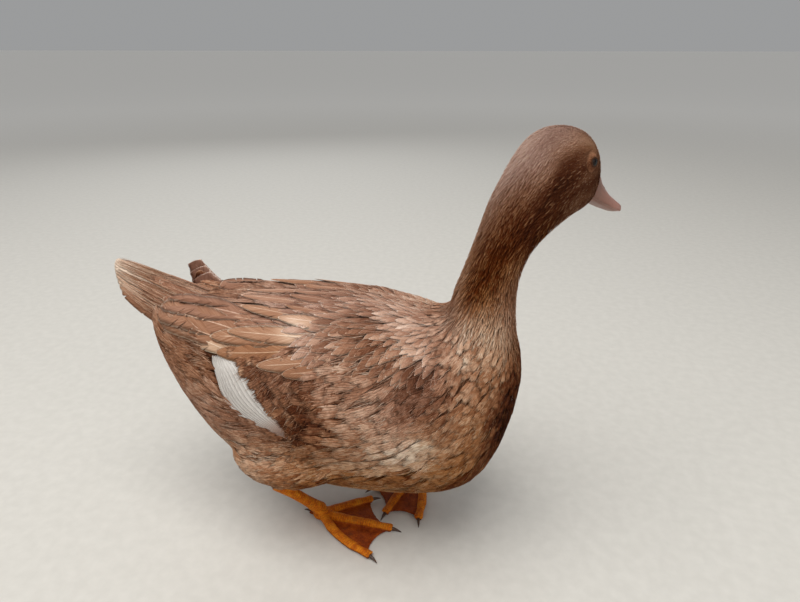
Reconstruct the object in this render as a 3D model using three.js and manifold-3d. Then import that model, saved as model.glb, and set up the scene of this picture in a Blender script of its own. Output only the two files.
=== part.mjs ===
// A brown domestic duck, standing with its head turned to its left.
// Millimetres, +X the way the body faces, +Y the bird's left, +Z up, with the feet's soles on Z = 0.
// The solids are the outer shape of the bird, out to the tips of the feathers. The body is one loft, from
// the under-tail to the face, parted by thin cuts into trunk, neck and head. Wings, thighs and tail are cut
// to fit it.

import * as THREE from "three";
import { mergeVertices } from "three/addons/utils/BufferGeometryUtils.js";
import Module from "manifold-3d";

const wasm = await Module();
wasm.setup();

const CUT = 0.3; // the gap left between solids that touch
const RIGHT = -1; // sides, as the sign of Y
const LEFT = 1;
const DEG = Math.PI / 180;

const HEAD_TURN = 50 * DEG; // the face looks this far to the bird's left
const ROUNDNESS = 2.25; // superellipse exponent of the body's sections, 2 being an ellipse

const EYE_RADIUS = 5.6;
const BILL_LENGTH = 52;

const TAIL_LENGTH = 107;
const TAIL_FEATHERS = 12;

const SHANK_RADIUS = 5;
const TOE_RADIUS = 4;
const WEB_THICKNESS = 1.6;
const CLAW_LENGTH = 9;

// ---------------------------------------------------------------- body loft
// Each station is a flat section: its highest and lowest point [x, z] in the bird's middle plane, its half
// width, where it is widest as a share of its height from below, and how far it is turned to the left.
const stations = [
  { name: "under-tail tip", back: [-217, 203], under: [-216, 183], half: 16, widest: 0.55, turn: 0 },
  { name: "under-tail", back: [-195, 204], under: [-202, 146], half: 37, widest: 0.55, turn: 0 },
  { name: "rump", back: [-160, 205], under: [-173, 97], half: 53, widest: 0.5, turn: 0 },
  { name: "vent", back: [-118, 208], under: [-133, 60], half: 66, widest: 0.48, turn: 0 },
  { name: "loin", back: [-70, 211], under: [-76, 46], half: 73, widest: 0.46, turn: 0 },
  { name: "back", back: [-20, 210.5], under: [-12, 45], half: 75, widest: 0.45, turn: 0 },
  { name: "shoulders", back: [20, 205], under: [52, 54.5], half: 71, widest: 0.46, turn: 0 },
  { name: "breast", back: [38, 209], under: [83.5, 85], half: 60, widest: 0.48, turn: 0 },
  { name: "neck base", back: [43, 226], under: [100, 150], half: 43, widest: 0.5, turn: 0 },
  { name: "low neck", back: [50, 246], under: [93.5, 197], half: 30, widest: 0.5, turn: 4 * DEG },
  { name: "mid neck", back: [58, 270], under: [91.5, 231], half: 24, widest: 0.5, turn: 12 * DEG },
  { name: "high neck", back: [67.5, 296], under: [97, 255], half: 23, widest: 0.5, turn: 28 * DEG },
  { name: "nape", back: [81, 319], under: [110, 267], half: 23.5, widest: 0.5, turn: 42 * DEG },
  { name: "hindhead", back: [96.5, 337], under: [124, 273], half: 25, widest: 0.52, turn: HEAD_TURN },
  { name: "crown", back: [116, 347], under: [134, 277], half: 26.5, widest: 0.53, turn: HEAD_TURN },
  { name: "brow", back: [140, 346], under: [143, 279], half: 25, widest: 0.54, turn: HEAD_TURN },
  { name: "eyes", back: [154.5, 336.5], under: [150, 281], half: 21.5, widest: 0.5, turn: HEAD_TURN },
  { name: "lores", back: [163, 323.5], under: [156, 283.5], half: 16.5, widest: 0.48, turn: HEAD_TURN },
  { name: "bill base", back: [166, 311], under: [159.5, 286], half: 12.5, widest: 0.48, turn: HEAD_TURN },
];

const stationIndex = (name) => stations.findIndex((s) => s.name === name);
const curveOf = (pick) =>
  new THREE.CatmullRomCurve3(stations.map((s) => new THREE.Vector3(...pick(s))), false, "catmullrom", 0.5);
const backCurve = curveOf((s) => [...s.back, s.half]);
const underCurve = curveOf((s) => [...s.under, s.widest]);
const turnCurve = curveOf((s) => [s.turn, 0, 0]);

// The flat section at station number t, which may lie between two stations, before the neck turns.
function flatSection(t) {
  const u = THREE.MathUtils.clamp(t / (stations.length - 1), 0, 1);
  const back = backCurve.getPoint(u);
  const under = underCurve.getPoint(u);
  const height = Math.hypot(back.x - under.x, back.y - under.y);
  const up = [(back.x - under.x) / height, (back.y - under.y) / height];
  return {
    up,
    centre: [under.x + up[0] * height * under.z, under.y + up[1] * height * under.z],
    rise: height * (1 - under.z),
    drop: height * under.z,
    half: back.z,
    turn: turnCurve.getPoint(u).x,
  };
}

// The middle line once the neck has turned: the flat one's steps, each swung by the turn at its place.
const SPINE_STEPS = 40; // to each station
const spine = [];
for (let i = 0; i <= (stations.length - 1) * SPINE_STEPS; i++) {
  const flat = flatSection(i / SPINE_STEPS);
  if (i === 0) {
    spine.push({ flat, at: new THREE.Vector3(flat.centre[0], 0, flat.centre[1]) });
    continue;
  }
  const before = spine[i - 1];
  const forward = flat.centre[0] - before.flat.centre[0];
  const step = new THREE.Vector3(
    forward * Math.cos(flat.turn), forward * Math.sin(flat.turn), flat.centre[1] - before.flat.centre[1]);
  spine.push({ flat, at: before.at.clone().add(step) });
}

// A point given by its flat place [x, z] near station t and its distance to the left, after the turn.
function turned(t, x, y, z) {
  const { flat, at } = spine[Math.round(t * SPINE_STEPS)];
  const ahead = x - flat.centre[0];
  const [c, s] = [Math.cos(flat.turn), Math.sin(flat.turn)];
  return new THREE.Vector3(at.x + ahead * c - y * s, at.y + ahead * s + y * c, at.z + z - flat.centre[1]);
}

// The surface point at station t and angle a: 0 on the back, a quarter turn on the left side. grow widens it.
function bodyPoint(t, a, grow = 0) {
  const f = flatSection(t);
  const soften = (v) => Math.sign(v) * Math.abs(v) ** (2 / ROUNDNESS);
  const lift = soften(Math.cos(a)) * ((Math.cos(a) > 0 ? f.rise : f.drop) + grow);
  const out = soften(Math.sin(a)) * (f.half + grow);
  return turned(t, f.centre[0] + f.up[0] * lift, out, f.centre[1] + f.up[1] * lift);
}

// ---------------------------------------------------------------- mesh and solid helpers
// A closed mesh through rings of points, each ring the same length, with a middle point closing both ends.
function loft(rings) {
  const n = rings[0].length;
  const middle = (ring) => ring.reduce((sum, p) => sum.add(p), new THREE.Vector3()).divideScalar(n);
  const points = [...rings.flat(), middle(rings[0]), middle(rings.at(-1))];
  const index = [];
  for (let i = 0; i + 1 < rings.length; i++) {
    for (let j = 0; j < n; j++) {
      const [a, b] = [i * n + j, i * n + ((j + 1) % n)];
      index.push(a, a + n, b, b, a + n, b + n);
    }
  }
  const last = (rings.length - 1) * n;
  for (let j = 0; j < n; j++) {
    index.push(points.length - 2, j, (j + 1) % n);
    index.push(points.length - 1, last + ((j + 1) % n), last + j);
  }
  const geometry = new THREE.BufferGeometry().setFromPoints(points);
  geometry.setIndex(index);
  return geometry;
}

function solid(geometry) {
  const bare = geometry.clone();
  bare.deleteAttribute("normal");
  bare.deleteAttribute("uv");
  const merged = mergeVertices(bare, 1e-4);
  const make = (order) => {
    const triVerts = new Uint32Array(merged.index.array);
    if (order < 0) {
      for (let i = 0; i < triVerts.length; i += 3) {
        [triVerts[i + 1], triVerts[i + 2]] = [triVerts[i + 2], triVerts[i + 1]];
      }
    }
    const vertProperties = new Float32Array(merged.attributes.position.array);
    return new wasm.Manifold(new wasm.Mesh({ numProp: 3, vertProperties, triVerts }));
  };
  const first = make(1);
  return first.volume() > 0 ? first : make(-1);
}

// The largest body of a solid, as a geometry: a cut can leave slivers beside it.
function geometryOf(cutSolid) {
  const largest = cutSolid.decompose().sort((a, b) => b.volume() - a.volume())[0];
  const mesh = largest.getMesh();
  const geometry = new THREE.BufferGeometry();
  geometry.setAttribute("position", new THREE.BufferAttribute(new Float32Array(mesh.vertProperties), 3));
  geometry.setIndex(new THREE.BufferAttribute(new Uint32Array(mesh.triVerts), 1));
  return geometry;
}

const range = (count, make) => Array.from({ length: count }, (_, i) => make(i));
const spread = (from, to, count) => range(count, (i) => from + ((to - from) * i) / (count - 1));

// The ring of body points at station t, moved along the body by shift.
function bodyRing(t, sides, grow, shift) {
  const place = Math.round(t * SPINE_STEPS);
  const before = spine[Math.max(0, place - 2)].at;
  const along = spine[place].at.clone().sub(before).normalize().multiplyScalar(shift);
  return range(sides, (j) => bodyPoint(t, (j / sides) * 2 * Math.PI, grow).add(along));
}

// The stretch of body between two stations: grow widens it, the shifts move its first and last rings onwards.
function bodyLength(from, to, rings, sides, { grow = 0, startShift = 0, endShift = 0 } = {}) {
  const shifts = range(rings, (i) => (i === 0 ? startShift : i === rings - 1 ? endShift : 0));
  return loft(spread(from, to, rings).map((t, i) => bodyRing(t, sides, grow, shifts[i])));
}

// A tube through centres [x, y, z], with a radius at each, flattened to the stated share of its height.
function tube(centres, radii, sides, steps, flatness = 1) {
  const path = new THREE.CatmullRomCurve3(centres.map((c) => new THREE.Vector3(...c)));
  const width = new THREE.CatmullRomCurve3(radii.map((r) => new THREE.Vector3(r, 0, 0)));
  const world = new THREE.Vector3(0, 0, 1);
  return loft(spread(0, 1, steps).map((u) => {
    const [at, ahead, radius] = [path.getPoint(u), path.getTangent(u), width.getPoint(u).x];
    const side = new THREE.Vector3().crossVectors(world, ahead).normalize();
    const up = new THREE.Vector3().crossVectors(ahead, side);
    return range(sides, (j) => {
      const a = (j / sides) * 2 * Math.PI; // from straight up
      return at.clone().addScaledVector(side, radius * Math.sin(a))
        .addScaledVector(up, radius * flatness * Math.cos(a));
    });
  }));
}

// ---------------------------------------------------------------- head: sockets, eyes and bill
const headStation = stationIndex("eyes");
const inHead = (x, y, z) => turned(headStation, x, y, z);

// The eyeball of one side, or its socket when grow widens it.
function eyeball(side, grow = 0) {
  const at = inHead(137, side * 20.6, 322.5);
  return new THREE.SphereGeometry(EYE_RADIUS + grow, 12, 8).translate(at.x, at.y, at.z);
}

// The bill in its own lie: how far along it, as a share of its length, to its widths and heights.
const BILL_DIP = 25 * DEG;
const BILL_SIDES = 12;
const billRoot = [162, 297]; // middle of the bill's base, in the flat head
const billProfile = [
  { along: -0.06, half: 11.8, top: 13.4, gape: -2.5, under: -9.4 },
  { along: 0.1, half: 11.4, top: 11.8, gape: -2.8, under: -9.4 },
  { along: 0.33, half: 11.0, top: 7.2, gape: -3.4, under: -8.8 },
  { along: 0.58, half: 11.6, top: 3.8, gape: -3.4, under: -8.0 },
  { along: 0.8, half: 12.4, top: 2.6, gape: -3.2, under: -7.2 },
  { along: 0.94, half: 10.4, top: 1.8, gape: -3.4, under: -6.6 },
  { along: 1, half: 5.0, top: -0.6, gape: -3.9, under: -5.6 },
];
const billCurve = new THREE.CatmullRomCurve3(
  billProfile.map((p) => new THREE.Vector3(p.half, p.top, p.gape)), false, "catmullrom", 0.5);
const billUnder = new THREE.CatmullRomCurve3(
  billProfile.map((p) => new THREE.Vector3(p.under, p.along, 0)), false, "catmullrom", 0.5);

// A point on the bill: ahead of its root, to the side and up from its line, which dips forwards.
function inBill(ahead, side, up) {
  const [c, s] = [Math.cos(BILL_DIP), Math.sin(BILL_DIP)];
  return inHead(billRoot[0] + ahead * c + up * s, side, billRoot[1] - ahead * s + up * c);
}

function billHalf(upper) {
  return loft(spread(0, 1, 11).map((u) => {
    const { x: half, y: top, z: gape } = billCurve.getPoint(u);
    const { x: under, y: along } = billUnder.getPoint(u);
    const share = upper ? 1 : 0.86;
    const ceiling = upper ? top - gape : 0.4;
    const floor = upper ? 0.4 : gape - CUT - under;
    const level = upper ? gape + 0.4 : gape - CUT - 0.4;
    return range(BILL_SIDES, (j) => {
      const a = (j / BILL_SIDES) * 2 * Math.PI;
      const rise = Math.sin(a) > 0 ? ceiling * Math.sin(a) ** 0.9 : floor * Math.sin(a);
      return inBill(along * BILL_LENGTH * (upper ? 1 : 0.96), half * share * Math.cos(a), level + rise);
    });
  }));
}

// ---------------------------------------------------------------- tail: a roof of overlapping feathers
const TAIL_ROOT = [-150, 198];
const TAIL_RISE = 17 * DEG; // of its ridge above level
const TAIL_HALF = [47, 19]; // half its width at the root and at the tips
const TAIL_CAMBER = [62, 18]; // how far its edges hang below the ridge, at the root and at the tips
const TAIL_STEP = 0.13; // how much shorter the outermost feather is than the middle ones, as a share

// A point of the fan's top: across is -1 at the right edge and 1 at the left, along is 0 at the root and 1 at
// the tips. lift raises it, and grow widens and lengthens the fan.
function tailPoint(across, along, lift, grow) {
  const quill = (Math.abs(across) * (TAIL_FEATHERS - 1)) / 2 + 0.5;
  const scallop = 2.6 * (0.5 - Math.abs((quill % 1) - 0.5)) * along ** 6;
  const reach = (TAIL_LENGTH * (1 - TAIL_STEP * across * across) + scallop) * along + grow;
  const between = ([root, tip]) => root + (tip - root) * along ** 0.95;
  return new THREE.Vector3(
    TAIL_ROOT[0] - reach * Math.cos(TAIL_RISE),
    across * (between(TAIL_HALF) + grow),
    TAIL_ROOT[1] + reach * Math.sin(TAIL_RISE) - across * across * between(TAIL_CAMBER) + lift);
}

function tailFan(grow = 0) {
  const across = spread(-1, 1, 2 * TAIL_FEATHERS - 1);
  return loft(spread(0, 1, 6).map((along) => {
    const thick = (u) => Math.max((8 - 7.2 * along ** 0.8) * (1 - 0.6 * u * u), 0.8) + grow;
    const over = across.map((u) => tailPoint(u, along, grow, grow));
    return [...over, ...across.map((u) => tailPoint(u, along, -thick(u), grow)).reverse()];
  }));
}

// ---------------------------------------------------------------- wings
// A folded wing lies along the trunk, from the shoulder to its tip over the rump. At each stage: the body
// station it is at, the angles from the back where its upper and lower edges lie, and how far it stands out.
const wingStages = [
  { station: 6.95, upper: 60, lower: 75, thick: 1.5 },
  { station: 6.6, upper: 47, lower: 85, thick: 5 },
  { station: 5.9, upper: 34, lower: 93, thick: 8 },
  { station: 5.0, upper: 24, lower: 97, thick: 9 },
  { station: 4.2, upper: 19, lower: 97, thick: 9 },
  { station: 3.6, upper: 17, lower: 91, thick: 8.5 },
  { station: 3.1, upper: 14, lower: 82, thick: 8 },
  { station: 2.65, upper: 12, lower: 69, thick: 7.5 },
  { station: 2.2, upper: 10, lower: 60, thick: 6.5 },
  { station: 1.7, upper: 9, lower: 60, thick: 5.5 },
  { station: 1.3, upper: 10, lower: 58, thick: 4.5 },
  { station: 0.95, upper: 17, lower: 48, thick: 3 },
];
const WING_ACROSS = 9;
const wingCurve = new THREE.CatmullRomCurve3(
  wingStages.map((w) => new THREE.Vector3(w.station, w.upper, w.lower)), false, "catmullrom", 0.5);
const wingThickness = new THREE.CatmullRomCurve3(
  wingStages.map((w) => new THREE.Vector3(w.thick, 0, 0)), false, "catmullrom", 0.5);

// The point of the wing at share u of its length and v of its width, standing out of the trunk by grow.
function wingPoint(side, u, v, grow) {
  const { x: station, y: upper, z: lower } = wingCurve.getPoint(u);
  const scallop = 2.5 * Math.abs(Math.sin(u * 24)) * THREE.MathUtils.smoothstep(u, 0.35, 0.6);
  return bodyPoint(station, side * (upper + (lower + scallop - upper) * v) * DEG, grow);
}

function wingBlade(side, grow = 0) {
  return loft(spread(0, 1, 15).map((u) => {
    const thick = wingThickness.getPoint(u).x + grow;
    const shares = spread(0, 1, WING_ACROSS);
    const outer = shares.map((v) => wingPoint(side, u, v, thick * (1 - 0.75 * (2 * v - 1) ** 4)));
    return [...outer, ...shares.map((v) => wingPoint(side, u, v, -1.5)).reverse()];
  }));
}

// The tips of the left wing's longest flight feathers stand up out of it over the rump, stacked edge on edge.
// From the bottom up: each row's height, and how far back and forward it reaches.
const flightRows = [
  { z: 190, rear: -192, front: -162 },
  { z: 200, rear: -195, front: -167 },
  { z: 209, rear: -197, front: -173 },
  { z: 217, rear: -198.5, front: -178 },
  { z: 222.5, rear: -199, front: -184 },
];
const FLIGHT_OUT = 25; // from the middle of the back
const FLIGHT_THICKNESS = 3;

function flightTips() {
  return loft(flightRows.map(({ z, rear, front }, i) => {
    const half = (FLIGHT_THICKNESS / 2) * (1 - 0.12 * i);
    const lean = FLIGHT_OUT - 0.6 * i;
    const mid = (rear + front) / 2;
    return [[rear, -0.6], [mid, -1], [front, -0.8], [front, 0.8], [mid, 1], [rear, 0.6]]
      .map(([x, out]) => new THREE.Vector3(x, lean + out * half, z));
  }));
}

// ---------------------------------------------------------------- legs
// Each leg: the hock, the foot's ball on the floor, and the way each toe points, in degrees from +X to the
// left. The right leg comes first, as the right wing does below.
const legs = [
  {
    name: "right", side: RIGHT, hock: [-101, -43, 46], ball: [-68, -27],
    toes: { inner: 36, middle: -3, outer: -34, hind: 165 },
  },
  {
    name: "left", side: LEFT, hock: [-26, 60, 49], ball: [6, 52],
    toes: { inner: -137, middle: -105, outer: -78, hind: 100 },
  },
];
const toeLengths = { inner: 50, middle: 67, outer: 67, hind: 13 };
const toeNames = Object.keys(toeLengths);
const TOE_BOW = { inner: 2, middle: 0.5, outer: -5, hind: 0 }; // sideways, half way along
const KNUCKLE_SWELL = 0.13;
const ANKLE_HEIGHT = 10;

// Where the named toe is, the given way along it, on the floor plan.
function alongToe(leg, name, reach) {
  const a = leg.toes[name] * DEG;
  const share = Math.min(reach / toeLengths[name], 1);
  const bow = -leg.side * TOE_BOW[name] * Math.sin(Math.PI * share);
  return [
    leg.ball[0] + Math.cos(a) * reach - Math.sin(a) * bow,
    leg.ball[1] + Math.sin(a) * reach + Math.cos(a) * bow,
  ];
}

// A toe from the ball of the foot, with a swelling at each knuckle.
function toe(leg, name) {
  const { start, end, knuckles, radius } = name === "hind"
    ? { start: ANKLE_HEIGHT, end: 1.4, knuckles: 1, radius: TOE_RADIUS * 0.62 }
    : { start: ANKLE_HEIGHT - 3, end: TOE_RADIUS * 0.72, knuckles: 3, radius: TOE_RADIUS };
  const shares = spread(0, 1, 13);
  const centres = shares.map((u) => {
    const level = start + (end - start) * Math.min(1, u * 3.2) ** 0.7;
    return [...alongToe(leg, name, toeLengths[name] * u), level];
  });
  const radii = shares.map((u) =>
    radius * (1.14 - 0.36 * u) * (1 + KNUCKLE_SWELL * Math.cos(2 * Math.PI * knuckles * u)));
  return tube(centres, radii, 6, 8, 0.9);
}

// The web between two toes: a thin plate whose front edge curves in between the toes' ends.
function web(leg, one, other) {
  const outline = new THREE.Shape();
  const point = (name, share) => new THREE.Vector2(...alongToe(leg, name, toeLengths[name] * share));
  const [a, b] = [point(one, 0.97), point(other, 0.97)];
  const ball = new THREE.Vector2(...leg.ball);
  const inward = a.clone().add(b).multiplyScalar(0.5).lerp(ball, 0.18);
  outline.moveTo(ball.x, ball.y);
  for (const share of [0.3, 0.65]) outline.lineTo(...point(one, share));
  outline.lineTo(a.x, a.y);
  outline.quadraticCurveTo(inward.x, inward.y, b.x, b.y);
  for (const share of [0.65, 0.3]) outline.lineTo(...point(other, share));
  outline.closePath();
  return new THREE.ExtrudeGeometry(outline, { depth: WEB_THICKNESS, bevelEnabled: false, curveSegments: 5 })
    .translate(0, 0, 0.9);
}

const FLOOR_CUTTER = solid(new THREE.BoxGeometry(800, 800, 40).translate(0, 0, -20));

function foot(leg) {
  const pad = new THREE.SphereGeometry(1, 10, 6).scale(7.6, 7.2, 6.8).translate(...leg.ball, 5.6);
  return toeNames.map((name) => solid(toe(leg, name)))
    .concat([solid(web(leg, "inner", "middle")), solid(web(leg, "middle", "outer"))])
    .reduce((whole, piece) => whole.add(piece), solid(pad))
    .subtract(FLOOR_CUTTER);
}

// A curved claw at a toe's end, its tip just clear of the floor.
function claw(leg, name, grow = 0) {
  const length = name === "hind" ? CLAW_LENGTH * 0.7 : CLAW_LENGTH;
  const thick = name === "hind" ? 1.3 : 2;
  const shares = [-0.15, 0.25, 0.65, 1];
  const centres = shares.map((u) => {
    return [...alongToe(leg, name, toeLengths[name] + length * u), 3.1 + 0.6 * u - 2.6 * u * u];
  });
  return tube(centres, [1, 0.86, 0.52, 0.15].map((r) => r * thick + grow), 6, 4, 1.1);
}

// The bare shank, from the hock down to the ball of the foot.
function shank(leg, grow = 0) {
  const [hock, ball] = [new THREE.Vector3(...leg.hock), new THREE.Vector3(...leg.ball, ANKLE_HEIGHT)];
  const shares = [-0.08, 0.02, 0.2, 0.5, 0.8, 0.95, 1.03];
  const centres = shares.map((u) => hock.clone().lerp(ball, u).toArray());
  const radii = [0.8, 1.3, 1.05, 0.92, 0.98, 1.2, 1.0].map((r) => r * SHANK_RADIUS + grow);
  return tube(centres, radii, 9, 8, 1.05);
}

// The feathered thigh: the flank's tuft along the belly, and the drumstick down to the hock.
function thigh(leg) {
  const tuft = tube([
    [-36, leg.side * 58, 86], [-72, leg.side * 61, 83], [-102, leg.side * 60, 83], [-121, leg.side * 58, 86],
    [-130, leg.side * 56, 88],
  ], [8, 19, 18, 11, 4], 14, 9, 0.95);
  const [x, y, z] = leg.hock;
  const drumstick = tube([
    [(x - 75) / 2, (y + leg.side * 58) / 2, 78], [x + 9, y + leg.side * 5, z + 14], [x - 2, y, z + 1],
  ], [18, 12, 6.2], 12, 5);
  return solid(tuft).add(solid(drumstick));
}

// ---------------------------------------------------------------- assembly
const colours = {
  plumage: 0x8a6350, neckPlumage: 0x7c5644, tailPlumage: 0x9a7660,
  bill: 0xb98d80, eye: 0x120c08, skin: 0xd2701a, claw: 0x3a2a20,
};
function looks(color, roughness) {
  return new THREE.MeshStandardMaterial({ color, roughness, metalness: 0 });
}

const duck = new THREE.Group();
function put(name, shape, material) {
  const mesh = new THREE.Mesh(geometryOf(shape.isBufferGeometry ? solid(shape) : shape), material);
  mesh.name = name;
  mesh.geometry.computeVertexNormals();
  duck.add(mesh);
}

const neckCut = stationIndex("neck base") + 0.5;
const headCut = stationIndex("high neck") + 0.5;
const faceEnd = stations.length - 1;
const TRUNK_MESH = [21, 30]; // rings along, points round
const NECK_MESH = [8, 22];
const HEAD_MESH = [13, 22];
const bothSides = [["right", RIGHT], ["left", LEFT]];

const trunkWide = solid(bodyLength(0, neckCut, ...TRUNK_MESH, { grow: CUT }));
put("trunk", bodyLength(0, neckCut, ...TRUNK_MESH), looks(colours.plumage, 0.8));
const neckAlone = bodyLength(neckCut, headCut, ...NECK_MESH, { startShift: CUT });
put("neck", neckAlone, looks(colours.neckPlumage, 0.85));

const headWide = solid(bodyLength(headCut, faceEnd, ...HEAD_MESH, { grow: CUT, endShift: CUT }));
const headWhole = solid(bodyLength(headCut, faceEnd, ...HEAD_MESH, { startShift: CUT }));
const sockets = bothSides.map(([, side]) => solid(eyeball(side, CUT)));
put("head", headWhole.subtract(sockets[0]).subtract(sockets[1]), looks(colours.neckPlumage, 0.85));
for (const [name, side] of bothSides) put(`eye_${name}`, eyeball(side), looks(colours.eye, 0.1));
put("bill_upper", solid(billHalf(true)).subtract(headWide), looks(colours.bill, 0.45));
put("bill_lower", solid(billHalf(false)).subtract(headWide), looks(colours.bill, 0.5));

// The wings lie over the tail's root, and the flight feathers' tips stand on it.
const tipsAlone = solid(flightTips()).subtract(solid(tailFan(CUT)));
for (const [name, side] of bothSides) {
  const blade = solid(wingBlade(side));
  const wing = side === LEFT ? blade.add(tipsAlone) : blade;
  put(`wing_${name}`, wing.subtract(trunkWide), looks(colours.plumage, 0.75));
}
const wingsWide = bothSides.map(([, side]) => solid(wingBlade(side, CUT)));
put("tail", solid(tailFan()).subtract(trunkWide).subtract(wingsWide[0]).subtract(wingsWide[1]),
  looks(colours.tailPlumage, 0.75));

for (const [i, leg] of legs.entries()) {
  const shankWide = solid(shank(leg, CUT));
  put(`thigh_${leg.name}`, thigh(leg).subtract(trunkWide).subtract(wingsWide[i]).subtract(shankWide),
    looks(colours.plumage, 0.85));
  put(`shank_${leg.name}`, shank(leg), looks(colours.skin, 0.55));
  const claws = toeNames.map((name) => solid(claw(leg, name, CUT)));
  const bareFoot = claws.reduce((whole, one) => whole.subtract(one), foot(leg).subtract(shankWide));
  put(`foot_${leg.name}`, bareFoot, looks(colours.skin, 0.6));
  for (const name of toeNames) put(`claw_${leg.name}_${name}`, claw(leg, name), looks(colours.claw, 0.4));
}

// The origin goes to the middle of the footprint of the whole bird, on the floor.
const box = new THREE.Box3().setFromObject(duck);
const middle = box.getCenter(new THREE.Vector3());
duck.position.set(-middle.x, -middle.y, -box.min.z);

export default duck;
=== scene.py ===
# %% [markdown]
# # A brown duck, feather by feather
# A live duck is a smooth body under several thousand feathers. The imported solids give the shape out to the
# feather tips. Here one skin is made inside them, and every kind of feather is combed over it: hair-fine on
# the head and neck, soft and split on the breast and flanks, broad and neat on the back, stiff in wing and
# tail. Everything is in metres, in the frame of the solids, and rides on their one body, "root".

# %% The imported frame
import math
import time

import bmesh
import bpy
import numpy as np
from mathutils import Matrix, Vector, kdtree, noise
from mathutils.bvhtree import BVHTree


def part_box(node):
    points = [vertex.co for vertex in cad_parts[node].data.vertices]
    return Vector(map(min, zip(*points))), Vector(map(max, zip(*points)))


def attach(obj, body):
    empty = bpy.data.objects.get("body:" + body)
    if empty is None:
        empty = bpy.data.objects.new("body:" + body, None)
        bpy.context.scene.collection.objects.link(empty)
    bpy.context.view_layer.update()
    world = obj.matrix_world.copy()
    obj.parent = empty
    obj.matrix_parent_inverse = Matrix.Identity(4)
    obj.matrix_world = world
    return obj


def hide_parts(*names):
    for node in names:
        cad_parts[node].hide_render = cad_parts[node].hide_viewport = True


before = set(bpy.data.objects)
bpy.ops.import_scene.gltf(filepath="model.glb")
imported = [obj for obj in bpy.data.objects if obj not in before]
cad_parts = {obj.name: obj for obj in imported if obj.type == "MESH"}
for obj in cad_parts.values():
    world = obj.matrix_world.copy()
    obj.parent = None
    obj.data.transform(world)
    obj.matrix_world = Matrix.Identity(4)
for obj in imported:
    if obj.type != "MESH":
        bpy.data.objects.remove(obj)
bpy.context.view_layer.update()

MM = 0.001
started = time.perf_counter()

# %% [markdown]
# ## Camera and light
# The bird is seen from its right side, near by and from a little above, through a wide lens. So near, the
# camera's place matters more than its focal length, because it makes the head large. One broad lamp stands
# for an open yard's sky. Two weaker ones keep the shaded side readable, because dark feathers lose all form
# in a black shadow.

# %% Camera
EYE = Vector((0.1335, -0.4435, 0.400))
LOOK_TURN = math.radians(12)  # to the left of straight across the bird
LOOK_DOWN = math.radians(23)


def stand(name, data):
    """A new object in the scene."""
    made = bpy.data.objects.new(name, data)
    bpy.context.scene.collection.objects.link(made)
    return made


camera = stand("camera", bpy.data.cameras.new("camera"))
camera.location = EYE
camera.rotation_euler = (math.radians(90) - LOOK_DOWN, 0, LOOK_TURN)
camera.data.lens = 27  # millimetres, on a sensor 36 wide
camera.data.sensor_width = 36
camera.data.clip_start = 0.01
bpy.context.scene.camera = camera
print("camera at", tuple(round(c, 3) for c in EYE))

# %% Light
def soft_lamp(name, place, aim, size, power, colour):
    """A square lamp that many metres across, with its power in watts, aimed at a place."""
    lamp = stand(name, bpy.data.lights.new(name, "AREA"))
    lamp.location = place
    lamp.rotation_euler = (Vector(aim) - Vector(place)).to_track_quat("-Z", "Y").to_euler()
    lamp.data.shape = "SQUARE"
    lamp.data.size = size
    lamp.data.energy = power
    lamp.data.color = colour


BREAST_HIGH = (0, 0, 0.18)
soft_lamp("sky_lamp", (-0.2, -0.6, 2.1), BREAST_HIGH, 1.8, 44, (1.0, 0.98, 0.95))
soft_lamp("front_lamp", (1.5, -1.2, 1.0), BREAST_HIGH, 1.2, 5, (1.0, 0.97, 0.93))
soft_lamp("back_lamp", (-0.8, 1.6, 1.3), BREAST_HIGH, 1.4, 7, (0.94, 0.97, 1.0))

world = bpy.data.worlds.new("studio")
bpy.context.scene.world = world
world.use_nodes = True
sky = world.node_tree.nodes["Background"].inputs
sky["Color"].default_value = (0.86, 0.87, 0.88, 1)
sky["Strength"].default_value = 0.38
bpy.context.scene.view_settings.view_transform = "Standard"
print("lamps", [lamp.name for lamp in bpy.data.lights])

# %% [markdown]
# ## The outline and the lie of the coat
# The solids of the body are joined and remeshed into one smooth outline, the surface that feather tips
# reach. Feathers lie like a stream: from the bill over the crown, down the neck, round the breast and back
# to the tail. So one number is spread over the outline, 0 at the bill and 1 at the tail, as evenly as heat
# would spread. Its slope at any place is the way feathers point.

# %% Outline
BODY_NODES = ["trunk", "neck", "head", "thigh_right", "thigh_left", "wing_right", "wing_left"]


def reworked(names, modifiers):
    """One mesh from the named solids, welded and put through modifiers, given as kinds with settings."""
    welded = bmesh.new()
    for name in names:
        welded.from_mesh(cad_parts[name].data)
    if "SUBSURF" in modifiers:
        bmesh.ops.remove_doubles(welded, verts=welded.verts, dist=1e-6)
    mesh = bpy.data.meshes.new("work")
    welded.to_mesh(mesh)
    welded.free()
    work = stand("work", mesh)
    for kind, settings in modifiers.items():
        modifier = work.modifiers.new(kind, kind)
        for label, value in settings.items():
            setattr(modifier, label, value)
    result = bpy.data.meshes.new_from_object(work.evaluated_get(bpy.context.evaluated_depsgraph_get()))
    bpy.data.objects.remove(work)
    return result


def remeshed(names, voxel, rounds):
    """One closed mesh around the named solids, in voxels of a size, smoothed for a number of rounds."""
    remesh = {"mode": "VOXEL", "voxel_size": voxel}
    return reworked(names, {"REMESH": remesh, "SMOOTH": {"iterations": rounds}})


def numbers(collection, name, width, kind=np.float64):
    """One property of a mesh's points, edges or faces, as an array with rows of the given width."""
    out = np.zeros(len(collection) * width, np.float32 if kind is np.float64 else np.int32)
    collection.foreach_get(name, out)
    return out.astype(kind).reshape(-1, width) if width > 1 else out.astype(kind)


def unit(v):
    return v / np.maximum(np.linalg.norm(v, axis=-1, keepdims=True), 1e-9)


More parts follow.
